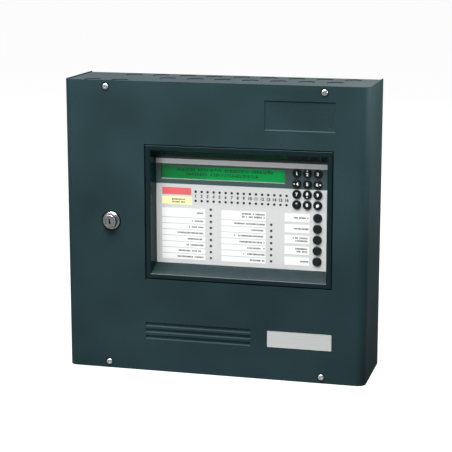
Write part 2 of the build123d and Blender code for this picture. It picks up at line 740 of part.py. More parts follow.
# Round keys: a cap through the facia and a collar that stops against its back.
for name, place in zip(key_names, key_places):
    with BuildPart() as key:
        with BuildSketch(wall(PLATE_BACK - LOOSE_GAP - COLLAR_THICKNESS)):
            with Locations(place):
                Circle(KEY_RADIUS + KEY_STOP)
        extrude(amount=COLLAR_THICKNESS)
        with BuildSketch(wall(PLATE_BACK - LOOSE_GAP)):
            with Locations(place):
                Circle(KEY_RADIUS)
        extrude(amount=FACIA_FACE + KEY_PROUD - PLATE_BACK + LOOSE_GAP)
        fillet(key.edges().filter_by(GeomType.CIRCLE).sort_by(Axis.Y)[0], 0.6)
    key.part.label = name
    export_step(key.part, f"parts/{name}.step")

# ---------------------------------------------------------------- main board
MAIN_SIZE = (222.0, 218.0)
MAIN_X = 29.0
MAIN_UP = 112.0
PILLAR_SPACING = (206.0, 101.0)
PILLAR_RADIUS = 3.0
MAIN_Z = up(MAIN_UP + MAIN_SIZE[1] / 2)


def pillar_places():
    return GridLocations(PILLAR_SPACING[0], PILLAR_SPACING[1], 2, 3)


with BuildPart() as main_board:
    with BuildSketch(wall(MAIN_BACK)):
        with Locations((MAIN_X, MAIN_Z)):
            Rectangle(*MAIN_SIZE)
            with pillar_places():
                Circle(1.5 + HOLE_CLEARANCE, mode=Mode.SUBTRACT)
    extrude(amount=BOARD)
main_board.part.label = "main_board"
export_step(main_board.part, "parts/main_board.step")

# Hexagonal brass pillars carry the main board and hold the display board to the bridge.
display_pillar_places = [
    (WINDOW_X + x, WINDOW_Z + z) for x in (-93.0, 93.0) for z in (-50.0, 12.0)
]


with BuildPart() as board_pillars:
    with BuildSketch(wall(BOX_SHEET)):
        with Locations((MAIN_X, MAIN_Z)):
            with pillar_places():
                RegularPolygon(PILLAR_RADIUS, 6)
    extrude(amount=BOARD_STAND)
    with BuildSketch(wall(BRIDGE_FRONT)):
        with Locations(*display_pillar_places):
            RegularPolygon(PILLAR_RADIUS, 6)
    extrude(amount=BRIDGE_GAP)
board_pillars.part.label = "board_pillars"
export_step(board_pillars.part, "parts/board_pillars.step")

# Pan-head M3 screws on the main board and behind the bridge.
SCREW_HEAD_M3 = 2.8
with BuildPart() as board_screws:
    with BuildSketch(wall(MAIN_FRONT)):
        with Locations((MAIN_X, MAIN_Z)):
            with pillar_places():
                Circle(SCREW_HEAD_M3)
    extrude(amount=1.9)
    with BuildSketch(wall(BRIDGE_BACK)):
        with opening_centre():
            with GridLocations(*POST_SPACING, 2, 2):
                Circle(SCREW_HEAD_M3)
    extrude(amount=-1.9)
    with BuildSketch(wall(BRIDGE_BACK)):
        with opening_centre():
            with GridLocations(*POST_SPACING, 2, 2):
                Circle(1.45)
    extrude(amount=8.0)
    with BuildSketch(wall(MAIN_FRONT)):
        with Locations((MAIN_X, MAIN_Z)):
            with pillar_places():
                Circle(1.45)
    extrude(amount=-BOARD)
board_screws.part.label = "board_screws"
export_step(board_screws.part, "parts/board_screws.step")

# Terminal blocks along the top edge, and two at the bottom left for the battery and supply.
BLOCK_SIZE = (24.0, 10.0)
BLOCK_DEPTH = 12.0
BLOCKS = 8
BLOCK_PITCH = 24.6
WAYS = 4
WAY_PITCH = 5.08
WIRE_HOLE = 1.9
POWER_X = -63.0
BATTERY_ENTRY_UP = 136.0
SUPPLY_ENTRY_X = -38.0
SUPPLY_ENTRY_UP = 120.0
with BuildPart() as terminal_blocks:
    with BuildSketch(wall(MAIN_FRONT)):
        with Locations((MAIN_X, up(MAIN_UP + MAIN_SIZE[1] - 8.0))):
            with GridLocations(BLOCK_PITCH, 1, BLOCKS, 1):
                Rectangle(*BLOCK_SIZE)
        with Locations(
            (POWER_X, up(BATTERY_ENTRY_UP)), (SUPPLY_ENTRY_X, up(SUPPLY_ENTRY_UP))
        ):
            Rectangle(15.0, 10.0)
    extrude(amount=BLOCK_DEPTH)
    with BuildSketch(wall(MAIN_FRONT + BLOCK_DEPTH)):
        with Locations((MAIN_X, up(MAIN_UP + MAIN_SIZE[1] - 8.0))):
            with GridLocations(BLOCK_PITCH, 1, BLOCKS, 1):
                with GridLocations(WAY_PITCH, 1, WAYS, 1):
                    Circle(WIRE_HOLE)
    extrude(amount=-3.0, mode=Mode.SUBTRACT)
terminal_blocks.part.label = "terminal_blocks"
export_step(terminal_blocks.part, "parts/terminal_blocks.step")

with BuildPart() as board_relays:
    with BuildSketch(wall(MAIN_FRONT)):
        with Locations((MAIN_X - 40, up(300.0))):
            with GridLocations(14.0, 1, 5, 1):
                Rectangle(10.0, 20.0)
    extrude(amount=11.0)
    fillet(board_relays.edges().filter_by(Axis.Y), 0.8)
board_relays.part.label = "board_relays"
export_step(board_relays.part, "parts/board_relays.step")

with BuildPart() as board_chips:
    with BuildSketch(wall(MAIN_FRONT)):
        with Locations((MAIN_X + 60, up(265.0))):
            Rectangle(20.0, 20.0)
        with Locations((MAIN_X + 60, up(225.0))):
            Rectangle(14.0, 14.0)
        with Locations((MAIN_X + 92, up(240.0))):
            with GridLocations(1, 24.0, 1, 4):
                Rectangle(6.0, 10.0)
        with Locations((MAIN_X - 75, up(215.0))):
            with GridLocations(18.0, 22.0, 2, 3):
                Rectangle(7.5, 15.0)
    extrude(amount=1.6)
board_chips.part.label = "board_chips"
export_step(board_chips.part, "parts/board_chips.step")

with BuildPart() as board_capacitors:
    with BuildSketch(wall(MAIN_FRONT)):
        with Locations((MAIN_X - 92, up(160.0))):
            with GridLocations(14.0, 16.0, 2, 2):
                Circle(5.0)
        with Locations((MAIN_X + 60, up(160.0))):
            with GridLocations(16.0, 1, 3, 1):
                Circle(6.3)
    extrude(amount=16.0)
    fillet(
        board_capacitors.edges().filter_by(GeomType.CIRCLE).group_by(Axis.Y)[0], 0.6
    )
board_capacitors.part.label = "board_capacitors"
export_step(board_capacitors.part, "parts/board_capacitors.step")

# Round sounder on the main board, with its hole.
with BuildPart() as sounder:
    with BuildSketch(wall(MAIN_FRONT)):
        with Locations((MAIN_X + 70, up(300.0))):
            Circle(12.0)
    extrude(amount=9.5)
    fillet(sounder.edges().filter_by(GeomType.CIRCLE).sort_by(Axis.Y)[0], 1.0)
    with BuildSketch(wall(MAIN_FRONT + 9.5)):
        with Locations((MAIN_X + 70, up(300.0))):
            Circle(1.8)
    extrude(amount=-5.0, mode=Mode.SUBTRACT)
sounder.part.label = "sounder"
export_step(sounder.part, "parts/sounder.step")

# Ribbon between the two boards: out of the display board's header towards the wall,
# up, and back into the main board's header.
RIBBON_X = 12.0
RIBBON_WIDTH = 33.0
RIBBON_THICKNESS = 1.0
RIBBON_LOW_UP = 175.0
RIBBON_HIGH_UP = 228.0
HEADER_HEIGHT = 9.0
HEADER_WIDTH = 42.0
RIBBON_TURN_Y = -(MAIN_FRONT + BRIDGE_BACK) / 2
with BuildPart() as ribbon_headers:
    with BuildSketch(wall(DISPLAY_BACK)):
        with Locations((RIBBON_X, up(RIBBON_LOW_UP))):
            Rectangle(HEADER_WIDTH, 8.0)
    extrude(amount=-HEADER_HEIGHT)
    with BuildSketch(wall(MAIN_FRONT)):
        with Locations((RIBBON_X, up(RIBBON_HIGH_UP))):
            Rectangle(HEADER_WIDTH, 8.0)
    extrude(amount=HEADER_HEIGHT)
ribbon_headers.part.label = "ribbon_headers"
export_step(ribbon_headers.part, "parts/ribbon_headers.step")

with BuildPart() as ribbon_cable:
    with BuildSketch(Plane.YZ.offset(RIBBON_X - RIBBON_WIDTH / 2)):
        with BuildLine():
            FilletPolyline(
                (HEADER_HEIGHT - DISPLAY_BACK, up(RIBBON_LOW_UP)),
                (RIBBON_TURN_Y, up(RIBBON_LOW_UP)),
                (RIBBON_TURN_Y, up(RIBBON_HIGH_UP)),
                (-MAIN_FRONT - HEADER_HEIGHT, up(RIBBON_HIGH_UP)),
                radius=9.0,
            )
        trace(line_width=RIBBON_THICKNESS)
    extrude(amount=RIBBON_WIDTH)
ribbon_cable.part.label = "ribbon_cable"
export_step(ribbon_cable.part, "parts/ribbon_cable.step")

# ---------------------------------------------------------------- power
# Caged switch-mode supply on the back sheet at the left, with slots in its front.
PSU_X = BOX_SHEET - BOX_WIDTH / 2 + 3.0 + PSU_WIDTH / 2
PSU_LOW_UP = 116.0
PSU_Z = up(PSU_LOW_UP + PSU_HEIGHT / 2)
PSU_TERMINALS = 14.0
with BuildPart() as supply_case:
    with BuildSketch(wall(BOX_SHEET)):
        with Locations((PSU_X, PSU_Z)):
            Rectangle(PSU_WIDTH, PSU_HEIGHT)
    extrude(amount=PSU_DEPTH)
    fillet(supply_case.edges().filter_by(Axis.Z), 1.5)
    with BuildSketch(wall(BOX_SHEET + PSU_DEPTH)):
        with Locations((PSU_X, PSU_Z + 8)):
            with GridLocations(1, 7.0, 1, 12):
                SlotOverall(52.0, 3.0)
    extrude(amount=-2.0, mode=Mode.SUBTRACT)
    with BuildSketch(wall(BOX_SHEET + PSU_DEPTH)):
        with Locations((PSU_X, up(PSU_LOW_UP + PSU_TERMINALS / 2))):
            Rectangle(PSU_WIDTH - 8.0, PSU_TERMINALS)
    extrude(amount=-16.0, mode=Mode.SUBTRACT)
supply_case.part.label = "supply_case"
export_step(supply_case.part, "parts/supply_case.step")

# Fused mains terminal under the two front knockouts.
MAINS_X = -137.0
MAINS_UP = 310.0
MAINS_SIZE = (50.0, 24.0)
MAINS_DEPTH = 20.0
with BuildPart() as mains_terminal:
    with BuildSketch(wall(BOX_SHEET)):
        with Locations((MAINS_X, up(MAINS_UP))):
            Rectangle(*MAINS_SIZE)
    extrude(amount=MAINS_DEPTH)
    with BuildSketch(wall(BOX_SHEET + MAINS_DEPTH)):
        with Locations((MAINS_X, up(MAINS_UP))):
            with GridLocations(12.0, 1, 4, 1):
                Circle(2.6)
    extrude(amount=-6.0, mode=Mode.SUBTRACT)
mains_terminal.part.label = "mains_terminal"
export_step(mains_terminal.part, "parts/mains_terminal.step")

# Two sealed batteries side by side on the box floor.
BATTERY_UP = COVER_LIP + BOX_SHEET
BATTERY_BACK = BOX_BEND
BATTERY_PITCH = BATTERY_LENGTH + BATTERY_SPACE
TAB_INSET = 20.0
TAB_OUT = BATTERY_BACK + BATTERY_DEPTH - 9.0
TAB_SIZE = (6.3, 0.8)
TAB_HEIGHT = 6.5
BATTERY_TOP = up(BATTERY_UP + BATTERY_HEIGHT)
tab_xs = [
    side * BATTERY_PITCH / 2 + end * (BATTERY_LENGTH / 2 - TAB_INSET)
    for side in (-1, 1)
    for end in (-1, 1)
]
with BuildPart() as batteries:
    with BuildSketch(wall(BATTERY_BACK)):
        with Locations((0, up(BATTERY_UP + BATTERY_HEIGHT / 2))):
            with GridLocations(BATTERY_PITCH, 1, 2, 1):
                Rectangle(BATTERY_LENGTH, BATTERY_HEIGHT)
    extrude(amount=BATTERY_DEPTH)
    fillet(batteries.edges().filter_by(Axis.Z), 2.0)
batteries.part.label = "batteries"
export_step(batteries.part, "parts/batteries.step")

with BuildPart() as battery_tabs:
    with BuildSketch(Plane.XY.offset(BATTERY_TOP)):
        with Locations(*[(x, -TAB_OUT) for x in tab_xs]):
            Rectangle(*TAB_SIZE)
    extrude(amount=TAB_HEIGHT)
battery_tabs.part.label = "battery_tabs"
export_step(battery_tabs.part, "parts/battery_tabs.step")

# Insulated push-on sockets over the tabs.
SOCKET_SIZE = (8.0, 3.4)
SOCKET_LENGTH = 12.0
SOCKET_LOW = BATTERY_TOP + 0.5
with BuildPart() as lead_sockets:
    with BuildSketch(Plane.XY.offset(SOCKET_LOW)):
        with Locations(*[(x, -TAB_OUT) for x in tab_xs]):
            Rectangle(*SOCKET_SIZE)
    extrude(amount=SOCKET_LENGTH)
    fillet(lead_sockets.edges().filter_by(Axis.Z), 0.8)
    with BuildSketch(Plane.XY.offset(SOCKET_LOW)):
        with Locations(*[(x, -TAB_OUT) for x in tab_xs]):
            Rectangle(TAB_SIZE[0] + 0.2, TAB_SIZE[1] + 0.2)
    extrude(amount=TAB_HEIGHT, mode=Mode.SUBTRACT)
lead_sockets.part.label = "lead_sockets"
export_step(lead_sockets.part, "parts/lead_sockets.step")

# Strap across the front of both batteries, folded back to the back sheet.
STRAP_UP = 62.0
STRAP_HEIGHT = 20.0
STRAP_FRONT = BATTERY_BACK + BATTERY_DEPTH + LOOSE_GAP
STRAP_X = BATTERY_PITCH / 2 + BATTERY_LENGTH / 2 + LOOSE_GAP
STRAP_FOOT = 10.0
with BuildPart() as battery_strap:
    with BuildSketch(Plane.XY.offset(up(STRAP_UP - STRAP_HEIGHT / 2))):
        with BuildLine():
            half = BRACKET_SHEET / 2
            FilletPolyline(
                (-STRAP_X - BRACKET_SHEET - STRAP_FOOT, -BOX_SHEET - half),
                (-STRAP_X - half, -BOX_SHEET - half),
                (-STRAP_X - half, -STRAP_FRONT - half),
                (STRAP_X + half, -STRAP_FRONT - half),
                (STRAP_X + half, -BOX_SHEET - half),
                (STRAP_X + BRACKET_SHEET + STRAP_FOOT, -BOX_SHEET - half),
                radius=1.2,
            )
        trace(line_width=BRACKET_SHEET)
    extrude(amount=STRAP_HEIGHT)
    with BuildSketch(wall(0)):
        with Locations((0, up(STRAP_UP))):
            with GridLocations(2 * STRAP_X + 2 * BRACKET_SHEET + STRAP_FOOT, 1, 2, 1):
                Circle(2.0 + HOLE_CLEARANCE)
    extrude(amount=BOX_SHEET + BRACKET_SHEET + 0.1, mode=Mode.SUBTRACT)
battery_strap.part.label = "battery_strap"
export_step(battery_strap.part, "parts/battery_strap.step")

# M4 pan-head screws that fix the bridge's feet and the strap's feet.
with BuildPart() as chassis_screws:
    for distance, length, radius in (
        (BOX_SHEET + BRACKET_SHEET, 2.6, 4.0),
        (BOX_SHEET + BRACKET_SHEET, -BRACKET_SHEET, 1.95),
    ):
        with BuildSketch(wall(distance)):
            with opening_centre():
                with foot_places():
                    Circle(radius)
            with Locations((0, up(STRAP_UP))):
                with GridLocations(
                    2 * STRAP_X + 2 * BRACKET_SHEET + STRAP_FOOT, 1, 2, 1
                ):
                    Circle(radius)
        extrude(amount=length)
chassis_screws.part.label = "chassis_screws"
export_step(chassis_screws.part, "parts/chassis_screws.step")

# Power leads: battery plus, battery minus, the link between the batteries, the two
# supply leads and the three mains cores.
LEAD_RADIUS = 1.3
LEAD_BEND = 8.0
SOCKET_TOP = SOCKET_LOW + SOCKET_LENGTH
BLOCK_FACE = MAIN_FRONT + BLOCK_DEPTH
WAY = 6.0


def battery_route(tab_x, entry_x):
    high = up(BATTERY_ENTRY_UP)
    return [
        (tab_x, -TAB_OUT, SOCKET_TOP),
        (tab_x, -TAB_OUT, high),
        (entry_x, -TAB_OUT, high),
        (entry_x, -BLOCK_FACE, high),
    ]


LINK_Z = SOCKET_TOP + 10.0
SUPPLY_OUT = BOX_SHEET + PSU_DEPTH + 10.0
SUPPLY_START = BOX_SHEET + PSU_DEPTH - 16.0


def supply_route(start_x, entry_x, height):
    return [
        (start_x, -SUPPLY_START, up(height)),
        (start_x, -SUPPLY_OUT, up(height)),
        (entry_x, -SUPPLY_OUT, up(height)),
        (entry_x, -BLOCK_FACE, up(height)),
    ]


lead_routes = [
    battery_route(tab_xs[0], POWER_X - WAY / 2),
    battery_route(tab_xs[3], POWER_X + WAY / 2),
    [
        (tab_xs[1], -TAB_OUT, SOCKET_TOP),
        (tab_xs[1], -TAB_OUT, LINK_Z),
        (tab_xs[2], -TAB_OUT, LINK_Z),
        (tab_xs[2], -TAB_OUT, SOCKET_TOP),
    ],
    supply_route(PSU_X + 20.0, SUPPLY_ENTRY_X - WAY / 2, SUPPLY_ENTRY_UP - 2.0),
    supply_route(PSU_X + 12.0, SUPPLY_ENTRY_X + WAY / 2, SUPPLY_ENTRY_UP + 2.0),
]
with BuildPart() as power_leads:
    for route in lead_routes:
        with BuildLine() as path:
            FilletPolyline(*route, radius=LEAD_BEND)
        with BuildSketch(Plane(origin=path.line @ 0, z_dir=path.line % 0)):
            Circle(LEAD_RADIUS)
        sweep(path=path.line)
    with BuildSketch(Plane.XY.offset(up(PSU_LOW_UP + PSU_HEIGHT))):
        with Locations((MAINS_X, -BOX_SHEET - 10.0)):
            with GridLocations(12.0, 1, 3, 1):
                Circle(LEAD_RADIUS)
    extrude(amount=MAINS_UP - MAINS_SIZE[1] / 2 - PSU_LOW_UP - PSU_HEIGHT)
power_leads.part.label = "power_leads"
export_step(power_leads.part, "parts/power_leads.step")
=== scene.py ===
# Fire alarm control panel for a wall: a steel box with a lift-off cover, a keypad and
# display behind the cover's window, and the boards, supply and batteries behind them.
import math

import bpy
import bmesh
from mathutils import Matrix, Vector


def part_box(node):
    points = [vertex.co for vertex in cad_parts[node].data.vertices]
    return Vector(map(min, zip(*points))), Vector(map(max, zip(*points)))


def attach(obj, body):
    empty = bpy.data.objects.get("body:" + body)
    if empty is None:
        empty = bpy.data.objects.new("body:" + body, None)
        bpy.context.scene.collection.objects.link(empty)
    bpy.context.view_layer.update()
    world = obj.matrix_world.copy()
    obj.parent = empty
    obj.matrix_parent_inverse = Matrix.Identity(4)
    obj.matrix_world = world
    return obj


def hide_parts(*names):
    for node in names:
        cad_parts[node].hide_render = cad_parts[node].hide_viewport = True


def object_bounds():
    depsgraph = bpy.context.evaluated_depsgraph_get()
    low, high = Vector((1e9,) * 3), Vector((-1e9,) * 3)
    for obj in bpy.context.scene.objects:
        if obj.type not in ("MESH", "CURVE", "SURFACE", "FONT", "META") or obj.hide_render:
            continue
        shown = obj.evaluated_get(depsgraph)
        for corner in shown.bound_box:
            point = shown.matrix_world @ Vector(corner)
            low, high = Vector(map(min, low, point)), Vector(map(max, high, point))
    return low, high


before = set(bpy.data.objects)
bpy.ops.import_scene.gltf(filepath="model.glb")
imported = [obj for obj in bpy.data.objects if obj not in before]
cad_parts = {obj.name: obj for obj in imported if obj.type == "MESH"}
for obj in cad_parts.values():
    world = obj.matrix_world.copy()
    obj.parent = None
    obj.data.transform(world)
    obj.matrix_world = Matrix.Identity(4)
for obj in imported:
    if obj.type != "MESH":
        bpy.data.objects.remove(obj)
cad_low, cad_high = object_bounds()

# ---------------------------------------------------------------- studio
# The panel stands on a wide pale sheet. One big soft box hangs over it and a little
# in front, and weaker ones fill the front and the back. A small one beside its upper
# right-hand corner lights the top of that side.
scene = bpy.context.scene
scene.view_settings.view_transform = "Standard"

lens = bpy.data.cameras.new("camera")
lens.lens = 119.35
lens.sensor_width = 36.0
lens.clip_end = 50.0
camera = bpy.data.objects.new("camera", lens)
camera.location = (0.45299, -1.78455, 0.36773)
camera.rotation_euler = (math.radians(90.0 - 11.673), 0.0, math.radians(14.547))
scene.collection.objects.link(camera)
scene.camera = camera


def soft_box(name, place, target, size, watts):
    """A rectangular studio light at a place, turned towards a target."""
    lamp = bpy.data.lights.new(name, "AREA")
    lamp.shape = "RECTANGLE"
    lamp.size, lamp.size_y = size
    lamp.energy = watts
    made = bpy.data.objects.new(name, lamp)
    made.location = place
    aim = Vector(target) - Vector(place)
    made.rotation_euler = aim.to_track_quat("-Z", "Y").to_euler()
    scene.collection.objects.link(made)


soft_box("overhead_light", (-0.15, -0.48, 1.1), (0.0, -0.1, 0.0), (1.2, 0.8), 46.0)
soft_box("front_light", (-1.3, -1.9, 0.75), (0.0, 0.0, 0.0), (1.0, 0.9), 12.0)
soft_box("right_light", (0.5, -0.05, 0.24), (0.18, -0.05, 0.36), (0.2, 0.1), 2.2)
soft_box("back_light", (0.6, 1.9, 1.1), (0.0, 0.0, 0.0), (1.4, 1.0), 20.0)


def linear(code):
    """The linear colour of an sRGB hex code."""
    parts = [int(code[i : i + 2], 16) / 255.0 for i in (1, 3, 5)]
    bent = [p / 12.92 if p < 0.04045 else ((p + 0.055) / 1.055) ** 2.4 for p in parts]
    return (*bent, 1.0)


def add_node(tree, kind, inputs=None, **settings):
    """Adds a node, sets its settings, and gives inputs values or other outputs."""
    made = tree.nodes.new(kind)
    for name, value in settings.items():
        setattr(made, name, value)
    for name, value in (inputs or {}).items():
        if isinstance(value, bpy.types.NodeSocket):
            tree.links.new(value, made.inputs[name])
        else:
            made.inputs[name].default_value = value
    return made


def new_finish(name):
    """An empty material with its tree, its shader and its object coordinates."""
    finish = bpy.data.materials.new(name)
    finish.use_nodes = True
    tree = finish.node_tree
    tree.nodes.clear()
    shader = add_node(tree, "ShaderNodeBsdfPrincipled")
    surface = {"Surface": shader.outputs["BSDF"]}
    add_node(tree, "ShaderNodeOutputMaterial", surface)
    place = add_node(tree, "ShaderNodeTexCoord").outputs["Object"]
    return finish, tree, shader, place


# The air round the panel is dim, so that it keeps its shading, and looks white.
studio = bpy.data.worlds.new("studio")
studio.use_nodes = True
air = studio.node_tree
backdrop = air.nodes["Background"]
backdrop.inputs["Color"].default_value = linear("#E4E8EA")
seen = add_node(air, "ShaderNodeLightPath").outputs["Is Camera Ray"]
white_or_dim = add_node(
    air, "ShaderNodeMapRange", {"Value": seen, "To Min": 0.15, "To Max": 1.3}
)
air.links.new(white_or_dim.outputs["Result"], backdrop.inputs["Strength"])
scene.world = studio

# Matt background paper with the faint tooth of its fibres, about 3 mm across, which
# is coarser than real so that it shows. It looks white but throws back little light.
paper, tree, shader, place = new_finish("background_paper")
tooth = add_node(tree, "ShaderNodeTexNoise", {"Vector": place, "Scale": 350.0})
shade = add_node(tree, "ShaderNodeMix", {0: tooth.outputs["Fac"]}, data_type="RGBA")
shade.inputs[6].default_value = linear("#686867")
shade.inputs[7].default_value = linear("#707070")
tree.links.new(shade.outputs[2], shader.inputs["Base Color"])
seen = add_node(tree, "ShaderNodeLightPath").outputs["Is Camera Ray"]
shader.inputs["Emission Color"].default_value = linear("#FFFFFF")
lit = add_node(
    tree, "ShaderNodeMath", {0: seen, 1: 0.95}, operation="MULTIPLY"
).outputs["Value"]
tree.links.new(lit, shader.inputs["Emission Strength"])
shader.inputs["Roughness"].default_value = 0.95
shader.inputs["Specular IOR Level"].default_value = 0.1

paper_mesh = bpy.data.meshes.new("background_sheet")
sheet = bmesh.new()
bmesh.ops.create_grid(sheet, x_segments=8, y_segments=8, size=9.0)
bmesh.ops.translate(sheet, verts=sheet.verts, vec=(0.0, 3.0, cad_low[2]))
sheet.to_mesh(paper_mesh)
sheet.free()
floor = bpy.data.objects.new("background_sheet", paper_mesh)
floor.data.materials.append(paper)
scene.collection.objects.link(floor)

# ---------------------------------------------------------------- back box
# The box is one folded sheet of mild steel with pressed knockouts for cable glands.
# It is powder coated in grey with the fine orange-peel texture of baked polyester.


def coat(material, *names):
    """Gives parts of the frame their material."""
    for name in names:
        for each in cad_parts[name].material_slots:
            each.material = material


def powder_coat(name, dark, light, roughness):
    """Baked polyester powder: a 1 mm orange peel, and slow drifts in its thickness.

    The grain is a little coarser than a real coat's, so that it shows.
    """
    finish, tree, shader, place = new_finish(name)
    grain = add_node(
        tree, "ShaderNodeTexNoise", {"Vector": place, "Scale": 900.0, "Detail": 3.0}
    )
    drift = add_node(
        tree, "ShaderNodeTexNoise", {"Vector": place, "Scale": 9.0, "Detail": 2.0}
    )
    both = add_node(
        tree,
        "ShaderNodeMath",
        {0: grain.outputs["Fac"], 1: drift.outputs["Fac"]},
        operation="MULTIPLY",
    )
    ramp = add_node(tree, "ShaderNodeValToRGB", {"Fac": both.outputs["Value"]})
    ramp.color_ramp.elements[0].position = 0.1
    ramp.color_ramp.elements[0].color = linear(dark)
    ramp.color_ramp.elements[1].position = 0.45
    ramp.color_ramp.elements[1].color = linear(light)
    tree.links.new(ramp.outputs["Color"], shader.inputs["Base Color"])
    rough = add_node(
        tree,
        "ShaderNodeMapRange",
        {
            "Value": grain.outputs["Fac"],
            "To Min": roughness - 0.06,
            "To Max": roughness + 0.08,
        },
    )
    tree.links.new(rough.outputs["Result"], shader.inputs["Roughness"])
    relief = add_node(
        tree,
        "ShaderNodeBump",
        {"Height": grain.outputs["Fac"], "Strength": 0.35, "Distance": 0.0002},
    )
    tree.links.new(relief.outputs["Normal"], shader.inputs["Normal"])
    shader.inputs["Specular IOR Level"].default_value = 0.16
    return finish


box_paint = powder_coat("grey_powder_coat", "#2A3436", "#364144", 0.6)

# The knockouts are half sheared, and a band just under the surface of the top is mixed to
# near-black: partly the bare steel of their sheared rims, partly painted shade in the step
# where each disc sits. The zone stops short of the front and the back of the top.
rim_middle_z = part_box("back_box")[1][2] - 0.00045
rim_half_height = 0.00042
rim_middle_y = -0.049
rim_half_depth = 0.043
tree = box_paint.node_tree
shader = tree.nodes["Principled BSDF"]
skin = shader.inputs["Base Color"].links[0].from_socket
parts = add_node(
    tree,
    "ShaderNodeSeparateXYZ",
    {"Vector": tree.nodes["Texture Coordinate"].outputs["Object"]},
)
rim = add_node(
    tree,
    "ShaderNodeMath",
    {0: parts.outputs["Z"], 1: rim_middle_z, 2: rim_half_height},
    operation="COMPARE",
)
away = add_node(
    tree,
    "ShaderNodeMath",
    {0: parts.outputs["Y"], 1: rim_middle_y, 2: rim_half_depth},
    operation="COMPARE",
)
shaded_rim_band = add_node(
    tree,
    "ShaderNodeMath",
    {0: rim.outputs["Value"], 1: away.outputs["Value"]},
    operation="MULTIPLY",
)
# Painted shade: inside the rim band the coat's colour is mixed to near-black #0E1314.
rim_shade_mix = add_node(
    tree,
    "ShaderNodeMix",
    {0: shaded_rim_band.outputs["Value"], 6: skin, 7: linear("#0E1314")},
    data_type="RGBA",
)
tree.links.new(rim_shade_mix.outputs[2], shader.inputs["Base Color"])
coat(box_paint, "back_box")

# ---------------------------------------------------------------- box fittings
# Zinc-plated steel clinch nuts and the lock's keeper are pressed or welded to the box.
# The two earth studs by the mains entry are turned brass.


def bright_metal(name, colour, roughness, cloud):
    """Bright metal with slow clouding and fine rolling marks along X.

    The marks are 0.2 mm apart and 3 mm long, coarser than real so that they show.
    """
    finish, tree, shader, place = new_finish(name)
    shader.inputs["Metallic"].default_value = 1.0
    stretched = add_node(
        tree, "ShaderNodeMapping", {"Vector": place, "Scale": (60.0, 900.0, 900.0)}
    )
    marks = add_node(
        tree, "ShaderNodeTexNoise", {"Vector": stretched.outputs["Vector"]}
    )
    clouds = add_node(
        tree, "ShaderNodeTexNoise", {"Vector": place, "Scale": 45.0, "Detail": 4.0}
    )
    tint = add_node(
        tree, "ShaderNodeMix", {0: clouds.outputs["Fac"]}, data_type="RGBA"
    )
    tint.inputs[6].default_value = linear(cloud)
    tint.inputs[7].default_value = linear(colour)
    tree.links.new(tint.outputs[2], shader.inputs["Base Color"])
    rough = add_node(
        tree,
        "ShaderNodeMapRange",
        {
            "Value": marks.outputs["Fac"],
            "To Min": roughness * 0.8,
            "To Max": roughness * 1.3,
        },
    )
    tree.links.new(rough.outputs["Result"], shader.inputs["Roughness"])
    relief = add_node(
        tree,
        "ShaderNodeBump",
        {"Height": marks.outputs["Fac"], "Strength": 0.12, "Distance": 0.0001},
    )
    tree.links.new(relief.outputs["Normal"], shader.inputs["Normal"])
    return finish


# Zinc looks soft and bluish, nickel and tin look bright, and brass looks yellow.
zinc_plate = bright_metal("zinc_plated_steel", "#C3C6C6", 0.34, "#A2A8AA")
bright_plate = bright_metal("bright_plated_steel", "#DADCDD", 0.14, "#BFC2C4")
turned_brass = bright_metal("turned_brass", "#D0AA5E", 0.26, "#B08A42")
coat(zinc_plate, "clinch_nuts", "lock_keeper", "chassis_screws")
coat(turned_brass, "earth_studs")

# ---------------------------------------------------------------- mains terminal
# A three-way pillar block in cream polyamide, screwed to the back of the box, with a
# steel clamp screw in each way.


def moulding(name, colour, deep, roughness, spark):
    """Injection-moulded plastic with spark-eroded texture and slight mottling.

    The sparks are 0.6 mm across and the mottling 8 mm, and the gloss follows it.
    """
    finish, tree, shader, place = new_finish(name)
    mottle = add_node(
        tree, "ShaderNodeTexNoise", {"Vector": place, "Scale": 120.0, "Detail": 5.0}
    )
    tint = add_node(
        tree, "ShaderNodeMix", {0: mottle.outputs["Fac"]}, data_type="RGBA"
    )
    tint.inputs[6].default_value = linear(deep)
    tint.inputs[7].default_value = linear(colour)
    tree.links.new(tint.outputs[2], shader.inputs["Base Color"])
    sparks = add_node(
        tree, "ShaderNodeTexVoronoi", {"Vector": place, "Scale": 1600.0}
    )
    rough = add_node(
        tree,
        "ShaderNodeMapRange",
        {
            "Value": mottle.outputs["Fac"],
            "To Min": roughness * 0.85,
            "To Max": roughness * 1.2,
        },
    )
    tree.links.new(rough.outputs["Result"], shader.inputs["Roughness"])
    relief = add_node(
        tree,
        "ShaderNodeBump",
        {"Height": sparks.outputs["Distance"], "Strength": spark, "Distance": 0.0001},
    )
    tree.links.new(relief.outputs["Normal"], shader.inputs["Normal"])
    return finish


coat(moulding("cream_polyamide", "#DDD5BB", "#D0C7AA", 0.42, 0.1), "mains_terminal")

# ---------------------------------------------------------------- power supply
# The switch-mode supply sits in a vented case of zinc-plated sheet, screwed to the
# back of the box on the left.
coat(zinc_plate, "supply_case")

# ---------------------------------------------------------------- main board
# Glass-fibre board with green solder resist over copper tracks. It stands on hexagon
# brass pillars, and the screws are bright plated steel.


